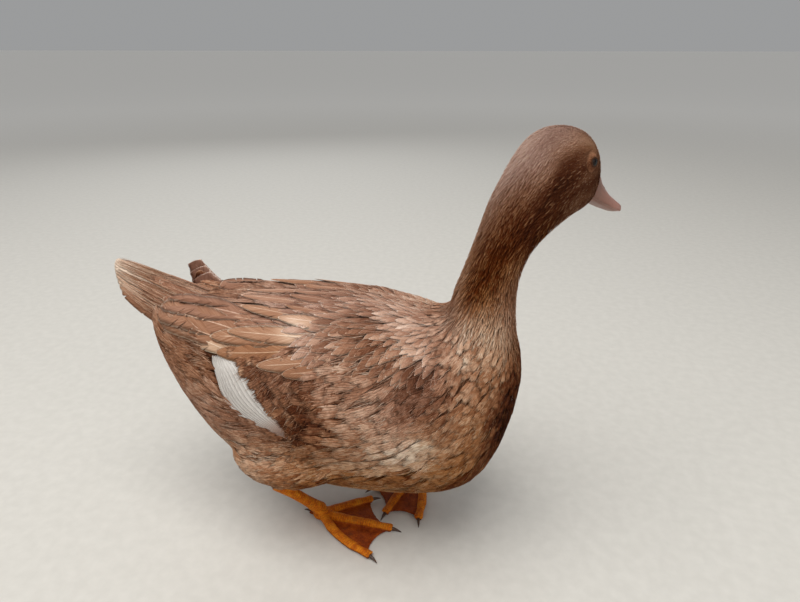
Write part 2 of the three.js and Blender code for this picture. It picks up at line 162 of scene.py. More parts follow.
outline = remeshed(BODY_NODES, 2.5 * MM, 10)
spots = numbers(outline.vertices, "co", 3)
edges = numbers(outline.edges, "vertices", 2, np.int64)
outline.calc_loop_triangles()
triangles = numbers(outline.loop_triangles, "vertices", 3, np.int64)
outward = numbers(outline.vertex_normals, "vector", 3)
print("outline", len(spots), "points", len(triangles), "triangles")

# %% Named places
def end_of(node, far_from, share=0.1):
    """The middle of the end of a solid that lies furthest from a place."""
    points = np.array([v.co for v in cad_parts[node].data.vertices])
    distance = np.linalg.norm(points - np.array(far_from), axis=1)
    return points[distance >= np.quantile(distance, 1 - share)].mean(0)


def middle_of(node):
    low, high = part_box(node)
    return np.array((low + high) / 2)


HEAD_MIDDLE = middle_of("head")
BILL_TIP = end_of("bill_upper", HEAD_MIDDLE)
BILL_ROOT = end_of("bill_upper", BILL_TIP, 0.25)
VENT_END = np.array([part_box("trunk")[0].x, middle_of("trunk")[1], 0.19])  # under the tail's root
SIDES = ("right", "left")
BALL = {side: end_of(f"shank_{side}", middle_of(f"thigh_{side}")) for side in SIDES}
HOCK = {side: end_of(f"shank_{side}", BALL[side]) for side in SIDES}
EYES = {side: middle_of(f"eye_{side}") for side in SIDES}
print("bill root", BILL_ROOT.round(4), "tip", BILL_TIP.round(4), "hocks", HOCK)

# %% A field spread evenly
def neighbour_sum(values):
    """For each point of the outline, the sum of what its neighbours hold."""
    total = np.bincount(edges[:, 0], values[edges[:, 1]], len(spots))
    return total + np.bincount(edges[:, 1], values[edges[:, 0]], len(spots))


neighbours = neighbour_sum(np.ones(len(spots)))


def spread_evenly(held, rounds=900):
    """The smoothest field over the outline that keeps the held values, by conjugate gradients."""
    is_held = ~np.isnan(held)
    field = np.where(is_held, held, 0.5)
    left = np.where(is_held, 0.0, neighbour_sum(field) - neighbours * field)
    step = left.copy()
    size = left @ left
    for _ in range(rounds):
        bend = np.where(is_held, 0.0, neighbours * step - neighbour_sum(np.where(is_held, 0.0, step)))
        stride = size / (step @ bend)
        field += stride * step
        left -= stride * bend
        before, size = size, left @ left
        if size < 1e-12:
            break
        step = left + size / before * step
    return field


def within(place, reach):
    """Which points of the outline lie nearer to a place than a reach."""
    return np.linalg.norm(spots - place, axis=1) < reach

# %% Potential from bill to tail
# The legs pull the flow down to their hocks.
BILL_EDGE, VENT_REACH, HOCK_REACH = 1.6 * MM, 20 * MM, 12 * MM
HOCK_PULL = 0.08
bill_points = []
for name in ("bill_upper", "bill_lower"):
    bill_points += [v.co.copy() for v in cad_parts[name].data.vertices]
bill_tree = kdtree.KDTree(len(bill_points))
for number, point in enumerate(bill_points):
    bill_tree.insert(point, number)
bill_tree.balance()
bill_gap = np.array([bill_tree.find(p)[2] for p in spots])
held = np.full(len(spots), np.nan)
held[bill_gap < BILL_EDGE] = 0
held[within(VENT_END, VENT_REACH)] = 1
potential = spread_evenly(held)
for hock in HOCK.values():
    at_hock = within(hock, HOCK_REACH)
    held[at_hock] = potential[at_hock].mean() + HOCK_PULL
lie_potential = spread_evenly(held)
print("the bill's edge holds", int((bill_gap < BILL_EDGE).sum()), "points")

# %% Lie of the coat
# The slope along the edges at each point, smoothed, and parted round the eyes.
EYE_PARTING, EYE_PARTING_REACH = 1.6, 7.5 * MM


def on_surface(ways):
    """Ways with what points in or out of the body taken away."""
    return unit(ways - (ways * outward).sum(1, keepdims=True) * outward)


span = spots[edges[:, 1]] - spots[edges[:, 0]]
slope = (lie_potential[edges[:, 1]] - lie_potential[edges[:, 0]]) / np.maximum((span**2).sum(1), 1e-9)
lie = np.stack([np.bincount(edges.ravel(), np.repeat(slope * step, 2), len(spots)) for step in span.T], 1)
for _ in range(12):
    lie = on_surface(lie)
    lie = lie + np.stack([neighbour_sum(values) for values in lie.T], 1)
for eye in EYES.values():
    away = spots - eye
    eye_far = np.linalg.norm(away, axis=1, keepdims=True)
    lie = unit(lie) + EYE_PARTING * np.exp(-((eye_far / EYE_PARTING_REACH) ** 2)) * unit(away)
lie = on_surface(lie)
print("flow solved after", round(time.perf_counter() - started, 1), "s")

# %% [markdown]
# ## A spine, and the skin laid flat
# Bands of equal potential are slices across the bird, like a carrot's, cut square to its length even where
# it bends. Their middles make a spine. How far along it a place lies, and at what angle round it from the
# back, say all about where a feather grows. They also lay the skin out flat, which is the map that every
# coat carries.

# %% Spine
BANDS = 64
limits = np.quantile(potential, np.linspace(0, 1, BANDS + 1))
band = np.clip(np.searchsorted(limits, potential, side="right") - 1, 0, BANDS - 1)
spine = np.array([spots[band == k].mean(0) for k in range(BANDS)])
for _ in range(16):
    spine[1:-1] = (spine[:-2] + 2 * spine[1:-1] + spine[2:]) / 4
spine_step = np.linalg.norm(np.diff(spine, axis=0), axis=1)
spine_reach = np.concatenate([[0], np.cumsum(spine_step)])
SPINE_LENGTH = spine_reach[-1]
axis = unit(np.gradient(spine, axis=0))
back_way = np.zeros_like(spine)
back_way[-1] = (0, 0, 1)
for k in range(BANDS - 1, -1, -1):
    before = back_way[min(k + 1, BANDS - 1)]
    back_way[k] = unit(before - (before @ axis[k]) * axis[k])
left_way = np.cross(axis, back_way)

band_middle = (limits[:-1] + limits[1:]) / 2
along = np.interp(potential, band_middle, spine_reach)  # metres from the bill


def on_spine(values, reach):
    return np.stack([np.interp(reach, spine_reach, values[:, k]) for k in range(values.shape[1])], -1)


from_spine = spots - on_spine(spine, along)
lift = (from_spine * on_spine(back_way, along)).sum(1)
aside = (from_spine * on_spine(left_way, along)).sum(1)
around = np.arctan2(aside, lift)  # 0 on the back, a quarter turn on the left, a half turn under the belly
print("spine", round(SPINE_LENGTH, 3), "m long")

# %% What each place of the outline is part of
solid_points, solid_faces, face_node = [], [], []
for node_number, name in enumerate(BODY_NODES):
    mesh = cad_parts[name].data
    start = len(solid_points)
    solid_points += [v.co.copy() for v in mesh.vertices]
    for polygon in mesh.polygons:
        solid_faces.append([start + v for v in polygon.vertices])
        face_node.append(node_number)
solid_tree = BVHTree.FromPolygons(solid_points, solid_faces)
part = np.array([face_node[solid_tree.find_nearest(Vector(p))[2]] for p in spots])
print("points of each solid", dict(zip(BODY_NODES, np.bincount(part).tolist())))

# %% [markdown]
# ## Finishes as node groups
# Three effects are used again and again: the plumage's own browns, the barbs and quill of a feather, and
# the fine pebbling of skin and horn. Each is a shader node group, a box with named knobs, and every
# material sets its own values on it. A coat's points carry three vectors for them: mark (how light, how
# warm, and a number of the feather's own), vane (across, along, how near the margin) and reach (across and
# along in metres, and another such number).

# %% Node helpers
def node(tree, kind, inputs=None, **settings):
    """A new node, with its settings, and its inputs as values or as links from other nodes' outputs."""
    made = tree.nodes.new(kind)
    for name, value in settings.items():
        setattr(made, name, value)
    for name, value in (inputs or {}).items():
        if isinstance(value, bpy.types.NodeSocket):
            tree.links.new(value, made.inputs[name])
        else:
            made.inputs[name].default_value = value
    return made


def calc(tree, operation, *values):
    """One step of arithmetic, on numbers or on other nodes' outputs."""
    return node(tree, "ShaderNodeMath", dict(enumerate(values)), operation=operation).outputs[0]


def times(tree, one, other):
    return calc(tree, "MULTIPLY", one, other)


def fit(tree, value, low, high, to_low=0.0, to_high=1.0):
    """A value carried from one range to another, and kept inside it."""
    inputs = {"Value": value, "From Min": low, "From Max": high, "To Min": to_low, "To Max": to_high}
    return node(tree, "ShaderNodeMapRange", inputs, interpolation_type="SMOOTHSTEP").outputs["Result"]


def srgb(red, green, blue):
    """A colour mixed as a painter sees it, 0 to 255, turned into the renderer's linear light."""
    linear = [(c / 255 / 12.92) if c < 11 else ((c / 255 + 0.055) / 1.055) ** 2.4 for c in (red, green, blue)]
    return (*linear, 1.0)


def ramp(tree, factor, stops):
    """A colour read off a ramp of (place, colour) stops."""
    made = node(tree, "ShaderNodeValToRGB", {"Fac": factor})
    bands = made.color_ramp.elements
    while len(bands) < len(stops):
        bands.new(1)
    for element, (place, colour) in zip(bands, stops):
        element.position = place
        element.color = colour
    return made.outputs["Color"]


def blend(tree, factor, one, other, kind="MIX"):
    """One colour with another laid over it by a factor from 0 to 1."""
    made = node(tree, "ShaderNodeMix", data_type="RGBA", blend_type=kind, clamp_factor=True)
    for index, value in ((0, factor), (6, one), (7, other)):
        if isinstance(value, bpy.types.NodeSocket):
            tree.links.new(value, made.inputs[index])
        else:
            made.inputs[index].default_value = value
    return made.outputs[2]


def parts_of(tree, vector):
    return node(tree, "ShaderNodeSeparateXYZ", {"Vector": vector}).outputs


def vector_of(tree, x, y, z):
    return node(tree, "ShaderNodeCombineXYZ", {"X": x, "Y": y, "Z": z}).outputs["Vector"]


def attribute(tree, name):
    return node(tree, "ShaderNodeAttribute", attribute_name=name).outputs["Vector"]


def piece_place(tree):
    return node(tree, "ShaderNodeTexCoord").outputs["Object"]


def clouds(tree, place, scale, detail=2.0, roughness=0.5):
    """Soft noise from 0 to 1, with a scale in lumps per metre."""
    inputs = {"Vector": place, "Scale": scale, "Detail": detail, "Roughness": roughness}
    return node(tree, "ShaderNodeTexNoise", inputs).outputs["Fac"]

# %% Group and material helpers
SOCKETS = {float: "NodeSocketFloat", tuple: "NodeSocketColor", Vector: "NodeSocketVector"}


def new_group(name, inputs, outputs):
    """An empty node group: its tree, its group input's sockets and its group output."""
    tree = bpy.data.node_groups.new(name, "ShaderNodeTree")
    for label, value in inputs.items():
        socket = tree.interface.new_socket(label, in_out="INPUT", socket_type=SOCKETS[type(value)])
        socket.default_value = value
    for label, kind in outputs.items():
        tree.interface.new_socket(label, in_out="OUTPUT", socket_type=SOCKETS[kind])
    return tree, tree.nodes.new("NodeGroupInput").outputs, tree.nodes.new("NodeGroupOutput")


def use_group(tree, group, inputs):
    """A group's node in another tree, filled in: its outputs."""
    return node(tree, "ShaderNodeGroup", inputs, node_tree=group).outputs


def new_material(name, **sockets):
    """A material with its Principled shader's plain values set: its tree and that shader."""
    material = bpy.data.materials.new(name)
    material.use_nodes = True
    shader = material.node_tree.nodes["Principled BSDF"]
    for label, value in sockets.items():
        shader.inputs[label.replace("_", " ")].default_value = value
    return material, material.node_tree, shader


def paint(tree, shader, colour):
    tree.links.new(colour, shader.inputs["Base Color"])


def emboss(tree, shader, height, strength, distance):
    """Relief too fine to model, given to the shader's normal."""
    bump = node(tree, "ShaderNodeBump", {"Height": height, "Strength": strength, "Distance": distance})
    tree.links.new(bump.outputs["Normal"], shader.inputs["Normal"])

# %% Plumage colour group
# Two ramps of brown, a mauve one and a tan one, from the dark of a feather's heart to its bleached edge.
tree, given, result = new_group(
    "plumage_colour", {"Tone": 0.5, "Warmth": 0.5, "Vary": 0.5}, {"Color": tuple})
MAUVE_BROWNS = [(0.0, srgb(50, 24, 14)), (0.25, srgb(106, 70, 52)), (0.5, srgb(158, 120, 103)),
                (0.75, srgb(202, 168, 151)), (1.0, srgb(236, 216, 204))]
TAN_BROWNS = [(0.0, srgb(42, 10, 0)), (0.25, srgb(94, 42, 6)), (0.5, srgb(158, 106, 62)),
              (0.75, srgb(200, 160, 122)), (1.0, srgb(234, 210, 176))]
own_shade = times(tree, calc(tree, "SUBTRACT", given["Vary"], 0.5), 0.10)
varied = calc(tree, "ADD", given["Tone"], own_shade)
mixed = blend(tree, given["Warmth"], ramp(tree, varied, MAUVE_BROWNS),
              ramp(tree, varied, TAN_BROWNS))
tree.links.new(mixed, result.inputs["Color"])
plumage_tree = tree

# %% Feather vane group
# Barbs leave the quill at a slant, so a noise stretched along that slant draws them. The quill is a thin
# line down the middle, and the margin is where a feather bleaches and frays.
BARB_SLANT = 1.25
tree, given, result = new_group(
    "feather_vane",
    {"Vane": Vector(), "Reach": Vector(), "Barbs per metre": 1500.0, "Quill": 0.03, "Fringe": 0.25},
    {"Streak": float, "Quill": float, "Fringe": float, "Height": float})
across, along_share, margin = parts_of(tree, given["Vane"])
aside_m, along_m, own_number = parts_of(tree, given["Reach"])
slant = calc(tree, "SUBTRACT", along_m, times(tree, calc(tree, "ABSOLUTE", aside_m), BARB_SLANT))
barb_place = vector_of(tree, times(tree, slant, given["Barbs per metre"]),
                       times(tree, aside_m, 90.0), times(tree, own_number, 40.0))
barbs = clouds(tree, barb_place, 1.0, 2.5, 0.65)
off_quill = fit(tree, calc(tree, "ABSOLUTE", across), times(tree, given["Quill"], 0.5), given["Quill"])
quill = times(tree, calc(tree, "SUBTRACT", 1.0, off_quill), fit(tree, along_share, 0.93, 0.8))
frayed_margin = calc(tree, "ADD", margin, times(tree, calc(tree, "SUBTRACT", barbs, 0.5), 0.25))
fringe = fit(tree, frayed_margin, calc(tree, "SUBTRACT", 1.0, given["Fringe"]), 1.0)
ridges = calc(tree, "ADD", times(tree, barbs, 0.6), quill)
for label, value in (("Streak", barbs), ("Quill", quill), ("Fringe", fringe), ("Height", ridges)):
    tree.links.new(value, result.inputs[label])
vane_tree = tree

# %% Pebbled skin group
# Small rounded scales with dark lines between them, for the feet, and, finer, for lids and bill.
tree, given, result = new_group(
    "pebbled_skin", {"Place": Vector(), "Scales per metre": 900.0, "Vary": 0.5},
    {"Line": float, "Shade": float, "Height": float})
cell_inputs = {"Vector": given["Place"], "Scale": given["Scales per metre"]}
cells = node(tree, "ShaderNodeTexVoronoi", cell_inputs, feature="DISTANCE_TO_EDGE").outputs["Distance"]
cell_colour = node(tree, "ShaderNodeTexVoronoi", cell_inputs, feature="F1").outputs["Color"]
cell_shade = calc(tree, "SUBTRACT", parts_of(tree, cell_colour)[0], 0.5)
tint = times(tree, cell_shade, given["Vary"])
blotches = clouds(tree, given["Place"], 160.0, 3.0)
pebble_shade = calc(tree, "ADD", blotches, times(tree, tint, 0.4))
pebble_line, pebble_height = fit(tree, cells, 0.12, 0.0), fit(tree, cells, 0.0, 0.35)
for label, value in (("Line", pebble_line), ("Shade", pebble_shade), ("Height", pebble_height)):
    tree.links.new(value, result.inputs[label])
pebble_tree = tree
print("groups:", [group.name for group in bpy.data.node_groups])

# %% [markdown]
# ## Where each sort of body feather grows
# A folded wing divides the body: mantle between the shoulders, wing coverts along its middle, and flank
# feathers lapping up over its lower edge. Two numbers tell them apart: the share of the wing's length, 0 at
# its tip and 1 at the shoulder, and the angle from straight up round the trunk's middle. Each border is an
# angle at a few shares, with straight runs between them.

# %% Wing places
wing_low, wing_high = (np.array(corner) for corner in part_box("wing_right"))
WING_LONG = wing_high[0] - wing_low[0]
MIDDLE_Y = (wing_low[1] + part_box("wing_left")[1].y) / 2
AXIS_HEIGHT = [0.165, 0.130]  # of the line the angles are taken round, at the wing's tip and shoulder
STUB_LEVEL = 0.2085  # above this the outline at the wing's end is the folded primaries' stub


def axis_height(share):
    """How high the line that the angles are taken round is, at a share of the wing's length."""
    return np.interp(share, [0, 1], AXIS_HEIGHT)


wing_share = (spots[:, 0] - wing_low[0]) / WING_LONG
wing_angle = np.degrees(np.arctan2(spots[:, 1] - MIDDLE_Y, spots[:, 2] - axis_height(wing_share)))
FLANK_EDGE = {"share": [0.22, 0.35, 0.47, 0.54, 0.68, 0.79, 0.9], "angle": [60, 76, 100, 107, 92, 77, 64]}
COVERT_TOP = {"share": [0.28, 0.40, 0.50, 0.66], "angle": [60, 60, 56, 46]}
flank_edge = np.interp(wing_share, FLANK_EDGE["share"], FLANK_EDGE["angle"])
covert_top = np.interp(wing_share, COVERT_TOP["share"], COVERT_TOP["angle"])
WHITE_EDGE = {"share": [0.510, 0.430, 0.352, 0.284, 0.255, 0.232], "angle": [109, 109, 110, 108, 96, 71]}
COVERT_EDGE = {"share": [0.510, 0.473, 0.430, 0.384, 0.345, 0.290], "angle": [106, 102, 95, 87, 76, 67]}
covert_edge = np.interp(wing_share, COVERT_EDGE["share"][::-1], COVERT_EDGE["angle"][::-1])
in_stub = (wing_share < 0.15) & (wing_angle > 8) & (spots[:, 2] > STUB_LEVEL)
side_angle = np.abs(wing_angle)
side_sign = np.where(wing_angle > 0, 1.0, -1.0)
print("the wing is", round(WING_LONG * 1000), "mm long, with", in_stub.sum(), "points in its stub")

# %% [markdown]
# ## Where the bird is light, dark, mauve or tan
# Skin and coat have to agree on the markings, or the skin would show as a stain between the feathers. So
# these are worked out once, as soft patches on the flat skin map, each adding or taking a little lightness
# and warmth, with a slow noise over them. The dark breast front, breast edge and wing hollow are partly
# painted shade.

# %% Markings
# name: (how far along in metres, its reach, angle from the back in degrees, its reach, lighter, warmer)
MARKINGS = {
    "mauve crown": (0.044, 0.042, 46, 42, 0.33, -0.56),
    "pale temple": (0.054, 0.009, 76, 18, 0.12, -0.10),
    "olive brow": (0.018, 0.012, 78, 16, 0.10, 0.30),
    "dusky ear": (0.045, 0.014, 95, 22, -0.16, 0.15),
    "dark cheeks": (0.035, 0.036, 130, 50, -0.22, 0.14),
    "dark throat": (0.070, 0.022, 150, 55, -0.24, 0.40),
    "red-brown neck": (0.088, 0.030, 78, 38, -0.32, 0.52),
    "neck front": (0.096, 0.014, 118, 26, 0.14, 0.10),
    "russet neck side": (0.117, 0.016, 68, 24, -0.12, 0.30),
    "nape": (0.110, 0.040, 0, 50, 0.06, 0.15),
    "pale breast top": (0.141, 0.019, 100, 50, 0.36, 0.05),
    "pale breast sides": (0.180, 0.034, 76, 34, 0.04, 0.05),
    # dark feathers and painted shade, where the breast turns under and away from the light
    "dark breast front": (0.188, 0.042, 180, 56, -0.50, 0.32),
    "dark breast edge": (0.176, 0.032, 143, 13, -0.20, 0.15),
    "pale breast low": (0.196, 0.014, 112, 14, 0.14, 0.10),
    "brown breast low": (0.232, 0.030, 120, 18, 0.00, 0.34),
    "warm lower flank": (0.290, 0.080, 122, 16, -0.14, 0.34),
    "pale shoulder": (0.190, 0.014, 48, 14, 0.20, 0.00),
    "pale flank front": (0.243, 0.018, 86, 14, 0.40, -0.20),
    # dark feathers and painted shade, in the hollow by the wing's edge
    "dark wing hollow": (0.308, 0.022, 66, 17, -0.44, 0.10),
    "pale wing shoulder": (0.268, 0.018, 34, 10, 0.12, 0.00),
    "brown belly side": (0.290, 0.030, 108, 10, -0.16, 0.30),
    "dusky shoulder": (0.212, 0.022, 64, 14, -0.34, -0.20),
    "pale mantle front": (0.205, 0.030, 0, 46, 0.22, 0.00),
    "mauve back": (0.290, 0.130, 0, 50, 0.02, -0.32),
    "tawny wing": (0.270, 0.030, 62, 14, 0.12, 0.05),
    "tan flanks": (0.290, 0.100, 103, 34, 0.11, 0.20),
    "olive belly": (0.320, 0.140, 180, 50, -0.06, 0.42),
    "pale thigh": (0.385, 0.028, 108, 14, 0.22, 0.00),
    "dusky vent": (0.460, 0.060, 130, 70, -0.10, -0.12),
}
# name: a place on the right side where single feathers have bleached nearly white, and how far that reaches
BLEACHED = {
    "scapulars": ((-0.0312, -0.0596, 0.2020), 0.0125),
    "shoulder": ((0.0973, -0.0575, 0.1874), 0.0060),
    "flank": ((0.0763, -0.0840, 0.1288), 0.0070),
}
BASE_TONE, BASE_WARMTH = 0.48, 0.45
BLEACH_GAIN = 0.36


def slow_noise(places, size, seed):
    """A smooth noise from -1 to 1 with features of about the given size, in metres."""
    shift = Vector((seed * 7.3, seed * 1.7, seed * 3.1))
    return np.array([noise.noise(Vector(p) / size + shift) for p in places])


def markings(places, reach, angle):
    """Lightness and warmth of the plumage at places that lie this far along and round the skin."""
    tone = np.full(len(places), BASE_TONE)
    warmth = np.full(len(places), BASE_WARMTH)
    degrees = np.degrees(np.abs(angle))
    for at, spread, turn, fan, lighter, warmer in MARKINGS.values():
        weight = np.exp(-(((reach - at) / spread) ** 2) - ((degrees - turn) / fan) ** 2)
        tone += lighter * weight
        warmth += warmer * weight
    body = np.clip((reach - 0.13) / 0.05, 0, 1)
    # Streaks are drawn out along the lie of the coat.
    streaky = np.stack([reach / 0.024, 4.5 * np.cos(angle), 4.5 * np.sin(angle)], 1)
    tone += 0.10 * slow_noise(places, 0.035, 1) + 0.04 * body * slow_noise(places, 0.011, 2)
    tone += 0.15 * slow_noise(streaky, 1.0, 4) + 0.10 * body * slow_noise(streaky * 2.6, 1.0, 5)
    warmth += 0.22 * slow_noise(places, 0.050, 3)
    return np.clip(tone, 0.02, 0.98), np.clip(warmth, 0, 1)


def bleaching(places):
    """How much lighter the sun has made the plumage at these places."""
    gain = np.zeros(places.shape[:-1])
    for middle, reach in BLEACHED.values():
        gain += BLEACH_GAIN * np.exp(-((np.linalg.norm(places - np.array(middle), axis=-1) / reach) ** 2))
    return gain


print(len(MARKINGS), "markings and", len(BLEACHED), "bleached patches")

# %% [markdown]
# ## Pieces
# Every part of the bird is made as arrays of points and faces, which can be moved and joined fast, and then
# as one mesh. A piece carries its vectors for the finishes, its place on the flat map, and the body it rides
# on, and the plain solids that it takes the place of are hidden.

# %% Mesh helpers
def shape_of(mesh, material=0):
    """A mesh's points and faces as arrays."""
    starts = numbers(mesh.polygons, "loop_start", 1, np.int64)
    corners = numbers(mesh.loops, "vertex_index", 1, np.int64)
    return {"points": numbers(mesh.vertices, "co", 3), "corners": corners, "starts": starts,
            "material": np.full(len(starts), material)}


def joined(*shapes):
    """Several shapes as one, with any arrays of theirs that hold one row to each point."""
    result = {key: [] for key in shapes[0]}
    points_before = corners_before = 0
    for shape in shapes:
        for key, rows in shape.items():
            shift = {"corners": points_before, "starts": corners_before}.get(key, 0)
            result[key].append(rows + shift)
        points_before += len(shape["points"])
        corners_before += len(shape["corners"])
    return {key: np.concatenate(rows) for key, rows in result.items()}


VECTORS = ("mark", "vane", "reach", "limb")


def new_piece(name, shape, materials, replaced=()):
    """A finished piece from a shape: its mesh, its vectors, its materials, and the body that it rides on."""
    mesh = bpy.data.meshes.new(name)
    mesh.vertices.add(len(shape["points"]))
    mesh.vertices.foreach_set("co", shape["points"].astype(np.float32).ravel())
    mesh.loops.add(len(shape["corners"]))
    mesh.loops.foreach_set("vertex_index", shape["corners"].astype(np.int32))
    mesh.polygons.add(len(shape["starts"]))
    mesh.polygons.foreach_set("loop_start", shape["starts"].astype(np.int32))
    mesh.update(calc_edges=True)
    mesh.polygons.foreach_set("use_smooth", np.ones(len(shape["starts"]), bool))
    mesh.polygons.foreach_set("material_index", shape["material"].astype(np.int32))
    for label in VECTORS:
        if label in shape:
            layer = mesh.attributes.new(label, "FLOAT_VECTOR", "POINT")
            layer.data.foreach_set("vector", shape[label].astype(np.float32).ravel())
    if "flat" in shape:
        layer = mesh.uv_layers.new(name="OFBake", do_init=False)
        layer.uv.foreach_set("vector", shape["flat"][shape["corners"]].astype(np.float32).ravel())
    for material in materials:
        mesh.materials.append(material)
    piece = stand(name, mesh)
    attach(piece, "root")
    if replaced:
        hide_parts(*replaced)
    return piece

# %% [markdown]
# ## One skin
# Under the coat there is one skin from the bill to the claws. The body's share is the outline drawn in by
# the depth of the coat, about a millimetre on the face and four on the body. The bare legs are remeshed
# much finer, because their scales show. The lids are part of it too: a soft rolled rim round each eye.

# %% Coat depth
# The coat thins out at the lids and hocks, and takes less than half of a thin place from either side.
STUB_SKIN = 0.2075  # under the stub the skin is drawn down flat, to leave room for its stiff feathers
body_tree = BVHTree.FromPolygons([Vector(p) for p in spots], triangles.tolist())
hits = [body_tree.ray_cast(Vector(p - n * 0.0002), Vector(-n))[3] for p, n in zip(spots, outward)]
thickness = np.array([hit if hit is not None else 0.1 for hit in hits])
tone, warmth = markings(spots, along, around)
DEPTH_PLACES = [0.0, 0.02, 0.05, 0.11, 0.17, 0.24, SPINE_LENGTH]
DEPTH_MM = [0.8, 1.2, 1.8, 2.5, 3.0, 3.8, 4.0]
depth = np.interp(along, DEPTH_PLACES, DEPTH_MM) * MM
for eye in EYES.values():
    depth = np.minimum(depth, 0.7 * MM + 0.12 * np.linalg.norm(spots - eye, axis=1))
for hock in HOCK.values():
    past_hock = np.maximum(np.linalg.norm(spots - hock, axis=1) - 10 * MM, 0)
    depth = np.minimum(depth, 0.4 * MM + 0.13 * past_hock)
depth = np.minimum(depth, 0.4 * thickness)
for _ in range(6):
    depth = np.minimum(depth, neighbour_sum(depth) / neighbours)
body_skin = shape_of(outline)
body_skin["points"] = spots - outward * depth[:, None]
body_skin["points"][in_stub, 2] = STUB_SKIN
body_skin["mark"] = np.stack([(tone + bleaching(spots)) * 0.92, warmth, np.full(len(spots), 0.5)], 1)
body_skin["limb"] = np.zeros((len(spots), 3))
print("coat depth from", round(depth.min() * 1000, 1), "to", round(depth.max() * 1000, 1), "mm")

# %% Legs
TOE_TOP = 2.7 * MM  # the webs lie lower than this, and the toes stand higher
SCUTE = 2.1 * MM  # from one ring of scales to the next


def ease(value, low, high):
    """A smooth step from 0 at one value to 1 at another."""
    share = np.clip((value - low) / (high - low), 0, 1)
    return share * share * (3 - 2 * share)


def leg_shape(side):
    """The shank and foot of one side, with the rings of scales round its toes and its folded webs."""
    mesh = remeshed([f"shank_{side}", f"foot_{side}"], 0.9 * MM, 5)
    shape = shape_of(mesh, material=1)
    points = shape["points"]
    normal = numbers(mesh.vertex_normals, "vector", 3)
    ball, hock = BALL[side].copy(), HOCK[side]
    ball[2] = 0
    from_ball = points - ball
    on_shank = ease(points[:, 2], 0.011, 0.016)
    from_hock = np.linalg.norm(points - hock, axis=1)
    ring_reach = np.where(on_shank > 0.5, from_hock, np.linalg.norm(from_ball[:, :2], axis=1))
    toe = np.maximum(ease(points[:, 2], TOE_TOP, TOE_TOP + 1.3 * MM), on_shank)
    facing_up = np.clip(normal[:, 2], 0, 1)
    ring = np.abs((ring_reach / SCUTE) % 1 - 0.5) * 2
    bearing = np.arctan2(from_ball[:, 1], from_ball[:, 0])
    fold = np.sin(bearing * 34 + 9 * slow_noise(points, 0.012, 5))
    swell = toe * (0.35 + 0.65 * facing_up) * (0.16 - 0.34 * ring**5) * MM
    swell += toe * (1 - on_shank) * (0.25 + 0.85 * np.clip(ring_reach / 0.05, 0, 1)) * MM  # fleshy pads
    swell += (1 - toe) * facing_up * 0.16 * fold * MM
    above = points[:, 2] > 0.5 * MM
    shape["points"] = points + normal * (swell * above)[:, None]
    shape["mark"] = np.tile([0.5, 0.5, 0.5], (len(points), 1))
    shape["limb"] = np.stack([toe, ring_reach, np.zeros(len(points))], 1)
    return shape


legs = {side: leg_shape(side) for side in SIDES}
print("legs", [len(leg["points"]) for leg in legs.values()])

# %% Lids
EYE_RADIUS = 0.5 * (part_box("eye_right")[1].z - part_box("eye_right")[0].z)
LID_LONG, LID_HIGH = 3.2 * MM, 2.7 * MM  # half the opening
LID_REACH = 7.2 * MM  # where the lids have run out into the face
FACE_OUT = 2.65 * MM  # how far the face there stands out from the eye's middle
LID_GAP = 0.15 * MM  # between the lids and the ball


def eye_frame(side):
    """The eye's middle, and the ways out of the head, forward to the bill and up."""
    other = "left" if side == "right" else "right"
    out = unit(EYES[side] - EYES[other])
    forward = BILL_TIP - BILL_ROOT
    forward = unit(forward - (forward @ out) * out)
    up = np.cross(out, forward)
    return EYES[side], out, forward, up if up[2] > 0 else -up


def lid_height(x, y):
    """How far out the lids stand at a place forward of and above the eye: on the ball, then on the face."""
    reach = np.maximum(np.hypot(x, y), 1e-6)
    ball = np.sqrt(np.maximum((EYE_RADIUS + LID_GAP) ** 2 - reach**2, 0))
    rim = math.sqrt((EYE_RADIUS + LID_GAP) ** 2 - LID_HIGH**2)
    face = FACE_OUT - 0.4 * MM * x / reach - 1.6 * MM * y / reach  # the cheek stands out more than the brow
    return np.maximum(ball, rim + (face - rim) * ease(reach, LID_HIGH, LID_REACH))


def lid_shape(side):
    """A rolled rim on the eyeball that runs out into the face, a little pointed at its two corners."""
    middle, out, forward, up = eye_frame(side)
    turns, rings = 64, 12
    phi = np.linspace(0, 2 * np.pi, turns, endpoint=False)
    rows = []
    for k in range(rings):
        share = (k / (rings - 1)) ** 1.3
        corner = 1 + 0.10 * (1 - share) * np.abs(np.cos(phi)) ** 6
        x = (LID_LONG + (LID_REACH - LID_LONG) * share) * np.cos(phi) * corner
        y = (LID_HIGH * 0.96 + (LID_REACH - LID_HIGH) * share) * np.sin(phi)
        roll = 0.35 * MM * math.sin(math.pi * min(share * 3 + 0.10, 1)) - (1.8 * MM if k == rings - 1 else 0)
        wrinkle = 0.06 * MM * np.sin(phi * 21 + k) * math.sin(math.pi * share)
        z = lid_height(x, y) + roll + wrinkle
        rows.append(middle + x[:, None] * forward + y[:, None] * up + z[:, None] * out)
    points = np.concatenate(rows)
    faces = []
    for k in range(rings - 1):
        for j in range(turns):
            a, b = k * turns + j, k * turns + (j + 1) % turns
            faces += [a, b, b + turns, a + turns] if side == "left" else [a, a + turns, b + turns, b]
    count = len(faces) // 4
    return {"points": points, "corners": np.array(faces), "starts": np.arange(count) * 4,
            "material": np.full(count, 2), "mark": np.tile([0.12, 0.5, 0.5], (len(points), 1)),
            "limb": np.zeros((len(points), 3))}


lids = {side: lid_shape(side) for side in SIDES}
print("eyes", round(EYE_RADIUS * 2000, 1), "mm across")

# %% [markdown]
# ## What the skin is covered with
# Down, scaly leg skin and bare lids are three materials on the one skin, so no seam shows between them.
# Down wears the plumage's browns, a little darker. The legs are orange on toes and shanks and red-brown on
# the webs, with dark lines between the scales and some dirt. The lids are thin dark skin with a fine grain.

